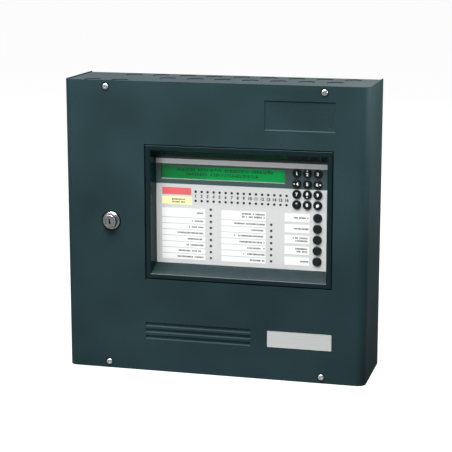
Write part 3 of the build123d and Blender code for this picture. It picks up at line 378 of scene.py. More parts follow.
def solder_resist(name, base, track):
    """Green resist, with the raised lighter lines of the copper tracks under it.

    Tracks stand 2 mm apart and vias 5 mm apart, sparser than real so that they show.
    """
    finish, tree, shader, place = new_finish(name)
    cells = add_node(
        tree,
        "ShaderNodeTexVoronoi",
        {"Vector": place, "Scale": 190.0, "Randomness": 0.35},
        distance="MANHATTAN",
        feature="F1",
    )
    runs = add_node(
        tree,
        "ShaderNodeTexBrick",
        {
            "Scale": 60.0,
            "Mortar Size": 0.02,
            "Mortar Smooth": 0.1,
            "Brick Width": 0.8,
            "Row Height": 0.12,
        },
    )
    turned = add_node(
        tree,
        "ShaderNodeMapping",
        {"Vector": place, "Rotation": (math.radians(90.0), 0.0, 0.0)},
    )
    tree.links.new(turned.outputs["Vector"], runs.inputs["Vector"])
    vias = add_node(
        tree,
        "ShaderNodeMath",
        {0: cells.outputs["Distance"], 1: 0.12},
        operation="LESS_THAN",
    )
    copper = add_node(
        tree,
        "ShaderNodeMath",
        {0: runs.outputs["Fac"], 1: vias.outputs["Value"]},
        operation="MAXIMUM",
    )
    tint = add_node(
        tree, "ShaderNodeMix", {0: copper.outputs["Value"]}, data_type="RGBA"
    )
    tint.inputs[6].default_value = linear(base)
    tint.inputs[7].default_value = linear(track)
    tree.links.new(tint.outputs[2], shader.inputs["Base Color"])
    shader.inputs["Roughness"].default_value = 0.3
    relief = add_node(
        tree,
        "ShaderNodeBump",
        {"Height": copper.outputs["Value"], "Strength": 0.3, "Distance": 0.00008},
    )
    tree.links.new(relief.outputs["Normal"], shader.inputs["Normal"])
    return finish


board_resist = solder_resist("green_solder_resist", "#0E4A2C", "#1E6E42")
coat(board_resist, "main_board", "display_board", "lcd_board")
coat(turned_brass, "board_pillars")
coat(bright_plate, "board_screws")

# ---------------------------------------------------------------- chips
# Black epoxy packages soldered flat to the board, with tinned gull-wing legs along
# their two long sides.
epoxy = moulding("black_epoxy", "#1B1C1E", "#131416", 0.5, 0.15)
coat(epoxy, "board_chips", "ribbon_headers")


def grow(name, tree, body, values, points=()):
    """Runs a node tree with these sizes and keeps its result as one plain mesh."""
    start = bpy.data.meshes.new(name)
    start.from_pydata([tuple(p) for p in points], [], [])
    made = bpy.data.objects.new(name, start)
    scene.collection.objects.link(made)
    maker = made.modifiers.new("maker", "NODES")
    maker.node_group = tree
    for item in tree.interface.items_tree:
        if item.item_type == "SOCKET" and item.name in values:
            maker[item.identifier] = values[item.name]
    bpy.context.view_layer.update()
    grown = made.evaluated_get(bpy.context.evaluated_depsgraph_get())
    mesh = bpy.data.meshes.new_from_object(grown)
    made.modifiers.remove(maker)
    made.data = mesh
    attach(made, body)
    return made


def start_tree(name, sizes):
    """A node tree with a geometry input and output and one named input per size."""
    tree = bpy.data.node_groups.new(name, "GeometryNodeTree")
    face = tree.interface
    face.new_socket("Geometry", in_out="INPUT", socket_type="NodeSocketGeometry")
    for title, kind in sizes.items():
        face.new_socket(title, in_out="INPUT", socket_type="NodeSocket" + kind)
    face.new_socket("Geometry", in_out="OUTPUT", socket_type="NodeSocketGeometry")
    return tree, add_node(tree, "NodeGroupInput").outputs


def end_tree(tree, geometry, material):
    """Makes the instances real, gives them their material and ends the tree."""
    real = add_node(tree, "GeometryNodeRealizeInstances", {"Geometry": geometry})
    dressed = add_node(
        tree,
        "GeometryNodeSetMaterial",
        {"Geometry": real.outputs["Geometry"], "Material": material},
    )
    add_node(tree, "NodeGroupOutput", {0: dressed.outputs["Geometry"]})


legs_tree, given = start_tree(
    "chip_legs", {"Count": "Int", "Pitch": "Float", "Reach": "Float"}
)
leg_size = (0.0012, 0.0007, 0.00045)
leg = add_node(legs_tree, "GeometryNodeMeshCube", {"Size": leg_size})
half = add_node(
    legs_tree,
    "ShaderNodeMath",
    {0: given["Count"], 1: 1.0},
    operation="SUBTRACT",
)
span = add_node(
    legs_tree,
    "ShaderNodeMath",
    {0: half.outputs["Value"], 1: given["Pitch"]},
    operation="MULTIPLY",
)
low_end = add_node(
    legs_tree,
    "ShaderNodeMath",
    {0: span.outputs["Value"], 1: -0.5},
    operation="MULTIPLY",
)
sides = []
for side in (-1.0, 1.0):
    reach = add_node(
        legs_tree,
        "ShaderNodeMath",
        {0: given["Reach"], 1: side},
        operation="MULTIPLY",
    )
    first = add_node(
        legs_tree,
        "ShaderNodeCombineXYZ",
        {"X": reach.outputs["Value"], "Z": low_end.outputs["Value"]},
    )
    step = add_node(legs_tree, "ShaderNodeCombineXYZ", {"Z": given["Pitch"]})
    row = add_node(
        legs_tree,
        "GeometryNodeMeshLine",
        {
            "Count": given["Count"],
            "Start Location": first.outputs["Vector"],
            "Offset": step.outputs["Vector"],
        },
    )
    sides.append(row.outputs["Mesh"])
both_rows = add_node(legs_tree, "GeometryNodeJoinGeometry")
for each in sides:
    legs_tree.links.new(each, both_rows.inputs["Geometry"])
placed_legs = add_node(
    legs_tree,
    "GeometryNodeInstanceOnPoints",
    {"Points": both_rows.outputs["Geometry"], "Instance": leg.outputs["Mesh"]},
)
each_chip = add_node(
    legs_tree,
    "GeometryNodeInstanceOnPoints",
    {"Points": given["Geometry"], "Instance": placed_legs.outputs["Instances"]},
)
end_tree(legs_tree, each_chip.outputs["Instances"], bright_plate)

# Legs stand 1.27 mm apart. Each kind of chip has its count of legs on a side, its
# reach from the middle to a row of legs, and the X and Z of each of its chips.
leg_pitch = 0.00127
leg_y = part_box("main_board")[0][1] - leg_size[1] / 2
driver_places = [(0.121, 0.0625 + 0.024 * i) for i in (-1.5, -0.5, 0.5, 1.5)]
loop_places = [
    (-0.046 + 0.009 * i, 0.0375 + 0.022 * j) for i in (-1, 1) for j in (-1, 0, 1)
]
for name, count, reach, places in (
    ("processor_legs", 14, 0.0103, [(0.089, 0.0875)]),
    ("memory_legs", 10, 0.0073, [(0.089, 0.0475)]),
    ("driver_legs", 7, 0.0033, driver_places),
    ("loop_chip_legs", 10, 0.00405, loop_places),
):
    sizes = {"Count": count, "Pitch": leg_pitch, "Reach": reach}
    chips = [(x, leg_y, z) for x, z in places]
    grow(name, legs_tree, "box", sizes, chips)

# ---------------------------------------------------------------- surface parts
# Chip resistors in rows on the board's upper part: a black-glazed ceramic body with
# tinned ends, soldered flat.
part_tree, given = start_tree(
    "surface_parts",
    {"Size": "Vector", "Left Out": "Float", "Seed": "Int", "Material": "Material"},
)
left_out = add_node(
    part_tree,
    "FunctionNodeRandomValue",
    {"Probability": given["Left Out"], "Seed": given["Seed"]},
    data_type="BOOLEAN",
)
stuffed = add_node(
    part_tree,
    "GeometryNodeDeleteGeometry",
    {"Geometry": given["Geometry"], "Selection": left_out.outputs[3]},
    domain="POINT",
)
quarter = add_node(
    part_tree,
    "FunctionNodeRandomValue",
    {4: 0, 5: 1, "Seed": given["Seed"]},
    data_type="INT",
)
angle = add_node(
    part_tree,
    "ShaderNodeMath",
    {0: quarter.outputs[2], 1: math.pi / 2},
    operation="MULTIPLY",
)
turned = add_node(part_tree, "ShaderNodeCombineXYZ", {"Y": angle.outputs["Value"]})
chip_block = add_node(part_tree, "GeometryNodeMeshCube", {"Size": given["Size"]})
soldered = add_node(
    part_tree,
    "GeometryNodeInstanceOnPoints",
    {
        "Points": stuffed.outputs["Geometry"],
        "Instance": chip_block.outputs["Mesh"],
        "Rotation": turned.outputs["Vector"],
    },
)
end_tree(part_tree, soldered.outputs["Instances"], given["Material"])

# They stand on a grid in two clear fields of the board, each from left to right and
# from low to high, and three places in ten are left empty.
part_pitch = 0.0045
part_fields = ((-0.076, -0.050, 0.086, 0.134), (0.028, 0.083, 0.104, 0.136))
part_places = []
for left, right, low, high in part_fields:
    for i in range(int((right - left) / part_pitch) + 1):
        for j in range(int((high - low) / part_pitch) + 1):
            part_places.append((left + part_pitch * i, leg_y, low + part_pitch * j))
for name, size, material, slot in (
    ("resistor_bodies", (0.0017, 0.0009, 0.0015), epoxy, "black_plastic"),
    ("resistor_ends", (0.0026, 0.0008, 0.0014), bright_plate, "bright_steel"),
):
    sizes = {"Size": size, "Left Out": 0.3, "Seed": 5, "Material": material}
    grow(name, part_tree, "box", sizes, part_places)

# ---------------------------------------------------------------- relays and sounder
# Sealed relays in off-white polyester, electrolytic capacitors in shrunk blue-black
# sleeve, and a round black sounder.
coat(moulding("relay_polyester", "#C9CAC4", "#BDBEB8", 0.38, 0.1), "board_relays")
coat(
    moulding("capacitor_sleeve", "#16203C", "#101830", 0.22, 0.02), "board_capacitors"
)
coat(moulding("black_abs", "#17181A", "#101113", 0.45, 0.3), "sounder")

# ---------------------------------------------------------------- terminal blocks
# Green polyamide blocks for the field wiring, with a slotted steel screw at the
# bottom of each way.
coat(moulding("green_polyamide", "#1C6B3E", "#155631", 0.4, 0.12), "terminal_blocks")

screw_tree, given = start_tree(
    "slotted_screws", {"Radius": "Float", "Thickness": "Float", "Slot": "Float"}
)
disc = add_node(
    screw_tree,
    "GeometryNodeMeshCylinder",
    {"Vertices": 20, "Radius": given["Radius"], "Depth": given["Thickness"]},
)
slot_length = add_node(
    screw_tree, "ShaderNodeMath", {0: given["Radius"], 1: 2.4}, operation="MULTIPLY"
)
slot_size = add_node(
    screw_tree,
    "ShaderNodeCombineXYZ",
    {
        "X": slot_length.outputs["Value"],
        "Y": given["Slot"],
        "Z": given["Thickness"],
    },
)
slot_bar = add_node(
    screw_tree, "GeometryNodeMeshCube", {"Size": slot_size.outputs["Vector"]}
)
half_thick = add_node(
    screw_tree,
    "ShaderNodeMath",
    {0: given["Thickness"], 1: 0.5},
    operation="MULTIPLY",
)
lift = add_node(
    screw_tree, "ShaderNodeCombineXYZ", {"Z": half_thick.outputs["Value"]}
)
raised_bar = add_node(
    screw_tree,
    "GeometryNodeTransform",
    {"Geometry": slot_bar.outputs["Mesh"], "Translation": lift.outputs["Vector"]},
)
cut_head = add_node(
    screw_tree,
    "GeometryNodeMeshBoolean",
    {0: disc.outputs["Mesh"], 1: raised_bar.outputs["Geometry"]},
    operation="DIFFERENCE",
)
spin = add_node(
    screw_tree,
    "FunctionNodeRandomValue",
    {2: -0.9, 3: 0.9, "Seed": 11},
    data_type="FLOAT",
)
facing = add_node(
    screw_tree,
    "ShaderNodeCombineXYZ",
    {"X": math.pi / 2, "Y": spin.outputs[1]},
)
screws = add_node(
    screw_tree,
    "GeometryNodeInstanceOnPoints",
    {
        "Points": given["Geometry"],
        "Instance": cut_head.outputs["Mesh"],
        "Rotation": facing.outputs["Vector"],
    },
)
end_tree(screw_tree, screws.outputs["Instances"], bright_plate)

# The upper row has eight blocks of four ways, and a screw lies 2.2 mm down each way.
row_middle_x = 0.029
row_z = 0.1445
block_pitch = 0.0246
way_pitch = 0.00508
way_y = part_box("terminal_blocks")[0][1] + 0.0022
ways = [
    (row_middle_x + block_pitch * (b - 3.5) + way_pitch * (w - 1.5), way_y, row_z)
    for b in range(8)
    for w in range(4)
]
screw_sizes = {"Radius": 0.00165, "Thickness": 0.0012, "Slot": 0.0005}
way_screws = grow("terminal_screws", screw_tree, "box", screw_sizes, ways)

# ---------------------------------------------------------------- ribbon cable
# Flat grey PVC ribbon between the two boards. Its wires stand 1.27 mm apart, so its
# faces are ribbed at that pitch.
ribbon, tree, shader, place = new_finish("ribbon_pvc")
rib_scale = 247.0  # a wave's bands lie pi / 10 of a metre apart at a scale of 1
ribs = add_node(
    tree,
    "ShaderNodeTexWave",
    {"Vector": place, "Scale": rib_scale, "Distortion": 0.0},
    bands_direction="X",
)
tint = add_node(tree, "ShaderNodeMix", {0: ribs.outputs["Fac"]}, data_type="RGBA")
tint.inputs[6].default_value = linear("#7C7E80")
tint.inputs[7].default_value = linear("#A4A6A8")
tree.links.new(tint.outputs[2], shader.inputs["Base Color"])
relief = add_node(
    tree,
    "ShaderNodeBump",
    {"Height": ribs.outputs["Fac"], "Strength": 0.8, "Distance": 0.0004},
)
tree.links.new(relief.outputs["Normal"], shader.inputs["Normal"])
shader.inputs["Roughness"].default_value = 0.45
coat(ribbon, "ribbon_cable")

# ---------------------------------------------------------------- batteries
# Two sealed lead-acid batteries in dark grey ABS lie on the bottom of the box behind
# a zinc-plated strap. Their tabs are tinned, and the leads push on with red sockets.
coat(moulding("battery_abs", "#34383B", "#2A2E31", 0.5, 0.35), "batteries")
coat(bright_plate, "battery_tabs")
coat(zinc_plate, "battery_strap")
coat(moulding("red_vinyl", "#A32219", "#8B1812", 0.35, 0.05), "lead_sockets")

# ---------------------------------------------------------------- power leads
# Stranded copper in coloured PVC. From the left: the mains line and neutral, battery
# minus, supply plus, the mains earth, supply minus, battery plus and battery link.
# PVC is smooth and half glossy, and the earth core is mottled green and yellow.
lead_pvc = {
    "red": moulding("red_lead_pvc", "#B0241C", "#9A1C15", 0.35, 0.02),
    "black": moulding("black_lead_pvc", "#1A1A1B", "#121213", 0.35, 0.02),
    "blue": moulding("blue_lead_pvc", "#1F4FA0", "#184086", 0.35, 0.02),
    "brown": moulding("brown_lead_pvc", "#5E3622", "#4C2A1A", 0.35, 0.02),
    "green": moulding("green_lead_pvc", "#2F8A3A", "#C9C22A", 0.35, 0.02),
}
order = ["brown", "blue", "black", "red", "green", "black", "red", "blue"]


def islands(shape):
    """The separate shells of a merged mesh, from left to right."""
    left = set(shape.faces)
    found = []
    while left:
        shell = {left.pop()}
        edge_of = list(shell)
        while edge_of:
            face = edge_of.pop()
            for line in face.edges:
                for other in line.link_faces:
                    if other in left:
                        left.remove(other)
                        shell.add(other)
                        edge_of.append(other)
        found.append(shell)
    return sorted(found, key=lambda s: min(v.co.x for f in s for v in f.verts))


shape = bmesh.new()
shape.from_mesh(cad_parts["power_leads"].data)
bmesh.ops.remove_doubles(shape, verts=shape.verts, dist=1e-6)
for index, shell in enumerate(islands(shape)):
    for face in shell:
        face.material_index = index % len(order)
        face.smooth = True
lead_mesh = bpy.data.meshes.new("insulated_leads")
shape.to_mesh(lead_mesh)
shape.free()
for colour in order:
    lead_mesh.materials.append(lead_pvc[colour])
leads = bpy.data.objects.new("insulated_leads", lead_mesh)
scene.collection.objects.link(leads)
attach(leads, "box")
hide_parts("power_leads")

# ---------------------------------------------------------------- display bridge
# A bent bracket of zinc-plated sheet is screwed to the back of the box. It bridges
# the main board and carries the display board and the facia.
coat(zinc_plate, "display_bridge")

# ---------------------------------------------------------------- facia
# A black moulded plate carries a polycarbonate film, screen printed on its back in
# pale grey with a dark band across the display, and with a fine satin grain in front.
coat(moulding("facia_abs", "#1C1F20", "#151718", 0.4, 0.25), "facia_plate")
film_low, film_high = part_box("facia_overlay")

# The film's colours from its foot up: the pale field, the dark band behind the keys
# and the display, a white line, and the pale strip along the top.
low_edge = cad_low[2]
field_grey = "#CED0CF"
bands_above = {
    low_edge + 0.2310: "#3C4F52",
    low_edge + 0.2553: "#F2F4F5",
    low_edge + 0.2617: "#E4E4E4",
}
film, tree, shader, place = new_finish("printed_polycarbonate")
parts = add_node(tree, "ShaderNodeSeparateXYZ", {"Vector": place})
height = add_node(
    tree,
    "ShaderNodeMapRange",
    {
        "Value": parts.outputs["Z"],
        "From Min": film_low[2],
        "From Max": film_high[2],
    },
)
bands = add_node(tree, "ShaderNodeValToRGB", {"Fac": height.outputs["Result"]})
bands.color_ramp.interpolation = "CONSTANT"
bands.color_ramp.elements[0].color = linear(field_grey)
bands.color_ramp.elements[1].position = 1.0
bands.color_ramp.elements[1].color = linear("#DEDEDE")
for level, colour in bands_above.items():
    share = (level - film_low[2]) / (film_high[2] - film_low[2])
    bands.color_ramp.elements.new(share).color = linear(colour)
grain = add_node(tree, "ShaderNodeTexNoise", {"Vector": place, "Scale": 2200.0})
tint = add_node(
    tree,
    "ShaderNodeMix",
    {0: 0.05, 6: bands.outputs["Color"], 7: grain.outputs["Color"]},
    data_type="RGBA",
    blend_type="OVERLAY",
)
tree.links.new(tint.outputs[2], shader.inputs["Base Color"])
relief = add_node(
    tree,
    "ShaderNodeBump",
    {"Height": grain.outputs["Fac"], "Strength": 0.08, "Distance": 0.0001},
)
tree.links.new(relief.outputs["Normal"], shader.inputs["Normal"])
shader.inputs["Roughness"].default_value = 0.42
shader.inputs["IOR"].default_value = 1.585
coat(film, "facia_overlay")

# ---------------------------------------------------------------- label windows
# White paper labels slide behind clear windows beside the lamps and the keys. They
# stand in columns, a taller one on top, with pale grey rules between them.


def ink(name, colour, edge, roughness):
    """Printing ink on paper or film: flat colour broken by its screen's dots."""
    finish, tree, shader, place = new_finish(name)
    dots = add_node(
        tree, "ShaderNodeTexNoise", {"Vector": place, "Scale": 1500.0, "Detail": 1.0}
    )
    tint = add_node(tree, "ShaderNodeMix", {0: dots.outputs["Fac"]}, data_type="RGBA")
    tint.inputs[6].default_value = linear(edge)
    tint.inputs[7].default_value = linear(colour)
    tree.links.new(tint.outputs[2], shader.inputs["Base Color"])
    shader.inputs["Roughness"].default_value = roughness
    return finish


# Paper and inks are matt and almost even. Their screen dots are 0.7 mm across, which
# is coarser than real so that they show.
label_paper = ink("label_paper", "#F4F4F3", "#ECECEC", 0.5)
rule_ink = ink("grey_rule_ink", "#BFC2C4", "#B4B8BA", 0.5)
word_ink = ink("grey_word_ink", "#54575C", "#44474C", 0.5)
red_label = ink("red_label_ink", "#E86B6D", "#E06063", 0.5)
yellow_label = ink("yellow_label_ink", "#FFFCC4", "#FCF6B4", 0.5)

panel_tree, given = start_tree(
    "printed_panels",
    {
        "Size": "Vector",
        "Count": "Int",
        "Drop": "Vector",
        "Start": "Vector",
        "Material": "Material",
    },
)
tile = add_node(panel_tree, "GeometryNodeMeshCube", {"Size": given["Size"]})
column = add_node(
    panel_tree,
    "GeometryNodeMeshLine",
    {
        "Count": given["Count"],
        "Start Location": given["Start"],
        "Offset": given["Drop"],
    },
)
tiles = add_node(
    panel_tree,
    "GeometryNodeInstanceOnPoints",
    {"Points": column.outputs["Mesh"], "Instance": tile.outputs["Mesh"]},
)
end_tree(panel_tree, tiles.outputs["Instances"], given["Material"])

film_y = film_low[1]
label_thickness = 0.00012


def panel_column(name, left, right, top, height, pitch, count, proud, material):
    """A column of printed rectangles on the facia, from the top one down."""
    sizes = {
        "Size": (right - left, label_thickness, height),
        "Count": count,
        "Drop": (0.0, 0.0, -pitch),
        "Start": ((left + right) / 2, film_y - proud, top - height / 2),
        "Material": material,
    }
    grow(name, panel_tree, "box", sizes)


# Each column's left and right edges, the top of its first piece above the panel's
# foot, then the height, the pitch down and the number of the pieces.
paper_proud = 0.00004
rule_proud = 0.00005
label_pitch = 0.00737
key_pitch = 0.01315
label_columns = []
for side, left, right in (("fault", -0.068, -0.014), ("status", 0.006, 0.0605)):
    label_columns += [
        (side + "_title_label", left, right, 0.2015, 0.0110, 0.011, 1, label_paper),
        (side + "_labels", left, right, 0.1896, 0.0066, label_pitch, 7, label_paper),
        (side + "_rules", left, right, 0.1901, 0.0005, label_pitch, 7, rule_ink),
    ]
label_columns += [
    ("key_labels", 0.0835, 0.1135, 0.2017, 0.0101, key_pitch, 5, label_paper),
    ("red_label", -0.0675, -0.0315, 0.2265, 0.0085, 0.01, 1, red_label),
    ("yellow_label", -0.068, -0.0305, 0.2155, 0.0095, 0.01, 1, yellow_label),
]
for name, left, right, top, height, pitch, count, material in label_columns:
    proud = rule_proud if material is rule_ink else paper_proud
    top += low_edge
    panel_column(name, left, right, top, height, pitch, count, proud, material)

# ---------------------------------------------------------------- label words
# Each label has one or two lines of small grey capitals ranged right. They are
# letter-sized blocks with gaps between the words, so that they say nothing.
word_tree, given = start_tree(
    "word_lines",
    {
        "Letters": "Int",
        "Rows": "Int",
        "Pitch": "Float",
        "Row Drop": "Float",
        "Start": "Vector",
        "Letter": "Vector",
        "Shortest": "Float",
        "Seed": "Int",
        "Material": "Material",
    },
)
total = add_node(
    word_tree,
    "ShaderNodeMath",
    {0: given["Letters"], 1: given["Rows"]},
    operation="MULTIPLY",
)
cloud = add_node(word_tree, "GeometryNodeMeshLine", {"Count": total.outputs["Value"]})
number = add_node(word_tree, "GeometryNodeInputIndex").outputs["Index"]
which = add_node(
    word_tree,
    "ShaderNodeMath",
    {0: number, 1: given["Letters"]},
    operation="MODULO",
)
share = add_node(
    word_tree, "ShaderNodeMath", {0: number, 1: given["Letters"]}, operation="DIVIDE"
)
line = add_node(
    word_tree, "ShaderNodeMath", {0: share.outputs["Value"]}, operation="FLOOR"
)
back = add_node(
    word_tree,
    "ShaderNodeMath",
    {0: which.outputs["Value"], 1: given["Pitch"]},
    operation="MULTIPLY",
)
down = add_node(
    word_tree,
    "ShaderNodeMath",
    {0: line.outputs["Value"], 1: given["Row Drop"]},
    operation="MULTIPLY",
)
shift = add_node(
    word_tree,
    "ShaderNodeCombineXYZ",
    {"X": back.outputs["Value"], "Z": down.outputs["Value"]},
)
spot = add_node(
    word_tree,
    "ShaderNodeVectorMath",
    {0: given["Start"], 1: shift.outputs["Vector"]},
    operation="SUBTRACT",
)
laid = add_node(
    word_tree,
    "GeometryNodeSetPosition",
    {"Geometry": cloud.outputs["Mesh"], "Position": spot.outputs["Vector"]},
)
ending = add_node(
    word_tree,
    "FunctionNodeRandomValue",
    {
        2: given["Shortest"],
        3: 1.0,
        "ID": line.outputs["Value"],
        "Seed": given["Seed"],
    },
    data_type="FLOAT",
)
last = add_node(
    word_tree,
    "ShaderNodeMath",
    {0: ending.outputs[1], 1: given["Letters"]},
    operation="MULTIPLY",
)
beyond = add_node(
    word_tree,
    "ShaderNodeMath",
    {0: which.outputs["Value"], 1: last.outputs["Value"]},
    operation="GREATER_THAN",
)
space = add_node(
    word_tree,
    "FunctionNodeRandomValue",
    {"Probability": 0.1, "Seed": given["Seed"]},
    data_type="BOOLEAN",
)
bare = add_node(
    word_tree,
    "FunctionNodeBooleanMath",
    {0: beyond.outputs["Value"], 1: space.outputs[3]},
    operation="OR",
)
kept = add_node(
    word_tree,
    "GeometryNodeDeleteGeometry",
    {"Geometry": laid.outputs["Geometry"], "Selection": bare.outputs["Boolean"]},
    domain="POINT",
)
block = add_node(word_tree, "GeometryNodeMeshCube", {"Size": given["Letter"]})
wide = add_node(
    word_tree,
    "FunctionNodeRandomValue",
    {0: (0.7, 1.0, 0.95), 1: (1.1, 1.0, 1.1), "Seed": given["Seed"]},
    data_type="FLOAT_VECTOR",
)
letters = add_node(
    word_tree,
    "GeometryNodeInstanceOnPoints",
    {
        "Points": kept.outputs["Geometry"],
        "Instance": block.outputs["Mesh"],
        "Scale": wide.outputs[0],
    },
)
end_tree(word_tree, letters.outputs["Instances"], given["Material"])


# The right-hand end and the level of each first line, the drop to the next, the
# number of lines, the letters in a full line, the share of them that the shortest
# line keeps, and the seed.
letter_pitch = 0.00165
letter_size = (0.0013, 0.00006, 0.0019)
letter_y = film_y - label_thickness
for name, right, level, drop, rows, count, shortest, seed in (
    ("fault_title_words", -0.0170, 0.1962, 0.0, 1, 5, 1.0, 3),
    ("fault_words", -0.0170, 0.1863, label_pitch, 7, 20, 0.25, 8),
    ("status_title_words", 0.0585, 0.1982, 0.0036, 2, 18, 0.8, 5),
    ("status_words", 0.0585, 0.1863, label_pitch, 7, 26, 0.35, 12),
    ("upper_key_words", 0.1115, 0.1966, key_pitch, 2, 12, 0.8, 2),
    ("third_key_words", 0.1105, 0.1722, 0.0034, 2, 11, 0.7, 4),
    ("fourth_key_words", 0.1105, 0.1592, 0.0034, 2, 9, 0.7, 7),
    ("last_key_words", 0.1115, 0.1440, key_pitch, 1, 6, 0.9, 9),
    ("yellow_words", -0.0400, 0.2122, 0.0032, 2, 10, 0.9, 6),
):
    sizes = {
        "Letters": count,
        "Rows": rows,
        "Pitch": letter_pitch,
        "Row Drop": drop,
        "Start": (right, letter_y, low_edge + level),
        "Letter": letter_size,
        "Shortest": shortest,
        "Seed": seed,
        "Material": word_ink,
    }
    grow(name, word_tree, "box", sizes)

# ---------------------------------------------------------------- zone numbers
# The two rows of zone lamps share one row of numbers, 1 to 16, printed between them
# in dark ink on the film. Each number is centred under the lamp above it.


def lettering(name, items, y, material, body):
    """Plain numbers and marks as one thin mesh, each centred on its own place."""
    thickness = 0.00006
    boldness = 0.045
    shape = bmesh.new()
    for words, size, x, z in items:
        text = bpy.data.curves.new(name, "FONT")
        text.body = words
        text.size = size
        text.align_x = "CENTER"
        text.align_y = "CENTER"
        text.extrude = thickness / 2
        text.offset = size * boldness
        text.resolution_u = 3
        held = bpy.data.objects.new(name, text)
        flat = bpy.data.meshes.new_from_object(held)
        for point in flat.vertices:
            across, above, out = point.co
            point.co = (x + across, y - out, z + above)
        shape.from_mesh(flat)
        bpy.data.objects.remove(held)
    made = bpy.data.meshes.new(name)
    bmesh.ops.recalc_face_normals(shape, faces=shape.faces)
    shape.to_mesh(made)
    shape.free()
    made.materials.append(material)
    whole = bpy.data.objects.new(name, made)
    scene.collection.objects.link(whole)
    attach(whole, body)
    return whole


first_zone_x = -0.0259
zone_pitch = 0.00743
zone_z = low_edge + 0.2167
zone_items = [
    (str(i + 1), 0.0050, first_zone_x + zone_pitch * i, zone_z) for i in range(16)
]
number_ink = ink("dark_number_ink", "#232629", "#1B1E21", 0.5)
numbers = lettering("zone_numbers", zone_items, film_y, number_ink, "box")

# ---------------------------------------------------------------- lamps
# Three-millimetre light-emitting diodes stand in the facia's holes. They are unlit,
# so their tinted epoxy lenses look dark.
lens_epoxy, tree, shader, place = new_finish("tinted_lamp_epoxy")
streak = add_node(tree, "ShaderNodeTexNoise", {"Vector": place, "Scale": 400.0})
tint = add_node(tree, "ShaderNodeMix", {0: streak.outputs["Fac"]}, data_type="RGBA")
tint.inputs[6].default_value = linear("#26292B")
tint.inputs[7].default_value = linear("#3C4042")
tree.links.new(tint.outputs[2], shader.inputs["Base Color"])
shader.inputs["Roughness"].default_value = 0.2
shader.inputs["Coat Weight"].default_value = 0.4
coat(lens_epoxy, "zone_lamps", "status_lamps")

# ---------------------------------------------------------------- display
# A two-line character display: green-lit glass in a zinc-plated frame, behind a
# clear acrylic window. Each character is a cell of five by seven dots, filled at
# random. The backlight is dimmer at its left-hand end, and the acrylic is glossy.
backlit, tree, shader, place = new_finish("backlit_green_glass")
parts = add_node(tree, "ShaderNodeSeparateXYZ", {"Vector": place})
dim_x, bright_x = -0.070, 0.010
glow = add_node(
    tree,
    "ShaderNodeMapRange",
    {"Value": parts.outputs["X"], "From Min": dim_x, "From Max": bright_x},
)
spread = add_node(
    tree, "ShaderNodeTexNoise", {"Vector": place, "Scale": 26.0, "Detail": 1.0}
)
level = add_node(
    tree,
    "ShaderNodeMath",
    {0: glow.outputs["Result"], 1: spread.outputs["Fac"]},
    operation="MULTIPLY",
)
tint = add_node(tree, "ShaderNodeValToRGB", {"Fac": level.outputs["Value"]})
tint.color_ramp.elements[0].color = linear("#00602C")
tint.color_ramp.elements[1].position = 0.45
tint.color_ramp.elements[1].color = linear("#008C44")
tree.links.new(tint.outputs["Color"], shader.inputs["Base Color"])
tree.links.new(tint.outputs["Color"], shader.inputs["Emission Color"])
shader.inputs["Emission Strength"].default_value = 0.5
shader.inputs["Roughness"].default_value = 0.3
coat(backlit, "lcd_glass")
coat(zinc_plate, "lcd_frame")

window, tree, shader, place = new_finish("clear_acrylic")
smear = add_node(tree, "ShaderNodeTexNoise", {"Vector": place, "Scale": 40.0})
rough = add_node(
    tree,
    "ShaderNodeMapRange",
    {"Value": smear.outputs["Fac"], "To Min": 0.02, "To Max": 0.08},
)
tree.links.new(rough.outputs["Result"], shader.inputs["Roughness"])
shader.inputs["Base Color"].default_value = linear("#24402E")
shader.inputs["IOR"].default_value = 1.49
shader.inputs["Alpha"].default_value = 0.03
coat(window, "lcd_lens")

# A cell is six dots wide with its gap. Some cells are blank, and some dots are off.
cell_width = 6.0
cell_height = 7.0
last_lit_column = 4.5
dark_dots = ink("display_dots", "#06351C", "#042A15", 0.3)
dot_tree, given = start_tree(
    "character_dots",
    {"Columns": "Int", "Start": "Vector", "Dot": "Float", "Seed": "Int"},
)
wide_count = add_node(
    dot_tree,
    "ShaderNodeMath",
    {0: given["Columns"], 1: cell_width},
    operation="MULTIPLY",
)
all_count = add_node(
    dot_tree,
    "ShaderNodeMath",
    {0: wide_count.outputs["Value"], 1: cell_height},
    operation="MULTIPLY",
)
cloud = add_node(dot_tree, "GeometryNodeMeshLine", {"Count": all_count.outputs[0]})
number = add_node(dot_tree, "GeometryNodeInputIndex").outputs["Index"]
across = add_node(
    dot_tree,
    "ShaderNodeMath",
    {0: number, 1: wide_count.outputs["Value"]},
    operation="MODULO",
)
share = add_node(
    dot_tree,
    "ShaderNodeMath",
    {0: number, 1: wide_count.outputs["Value"]},
    operation="DIVIDE",
)
along = add_node(
    dot_tree, "ShaderNodeMath", {0: share.outputs["Value"]}, operation="FLOOR"
)
grid = add_node(
    dot_tree,
    "ShaderNodeCombineXYZ",
    {"X": across.outputs["Value"], "Z": along.outputs["Value"]},
)
spread = add_node(
    dot_tree,
    "ShaderNodeVectorMath",
    {0: grid.outputs["Vector"], "Scale": given["Dot"]},
    operation="SCALE",
)
spot = add_node(
    dot_tree,
    "ShaderNodeVectorMath",
    {0: given["Start"], 1: spread.outputs["Vector"]},
    operation="ADD",
)
laid = add_node(
    dot_tree,
    "GeometryNodeSetPosition",
    {"Geometry": cloud.outputs["Mesh"], "Position": spot.outputs["Vector"]},
)
cell = add_node(
    dot_tree,
    "ShaderNodeMath",
    {0: across.outputs["Value"], 1: cell_width},
    operation="MODULO",
)
gap = add_node(
    dot_tree,
    "ShaderNodeMath",
    {0: cell.outputs["Value"], 1: last_lit_column},
    operation="GREATER_THAN",
)
cell_share = add_node(
    dot_tree,
    "ShaderNodeMath",
    {0: across.outputs["Value"], 1: cell_width},
    operation="DIVIDE",
)
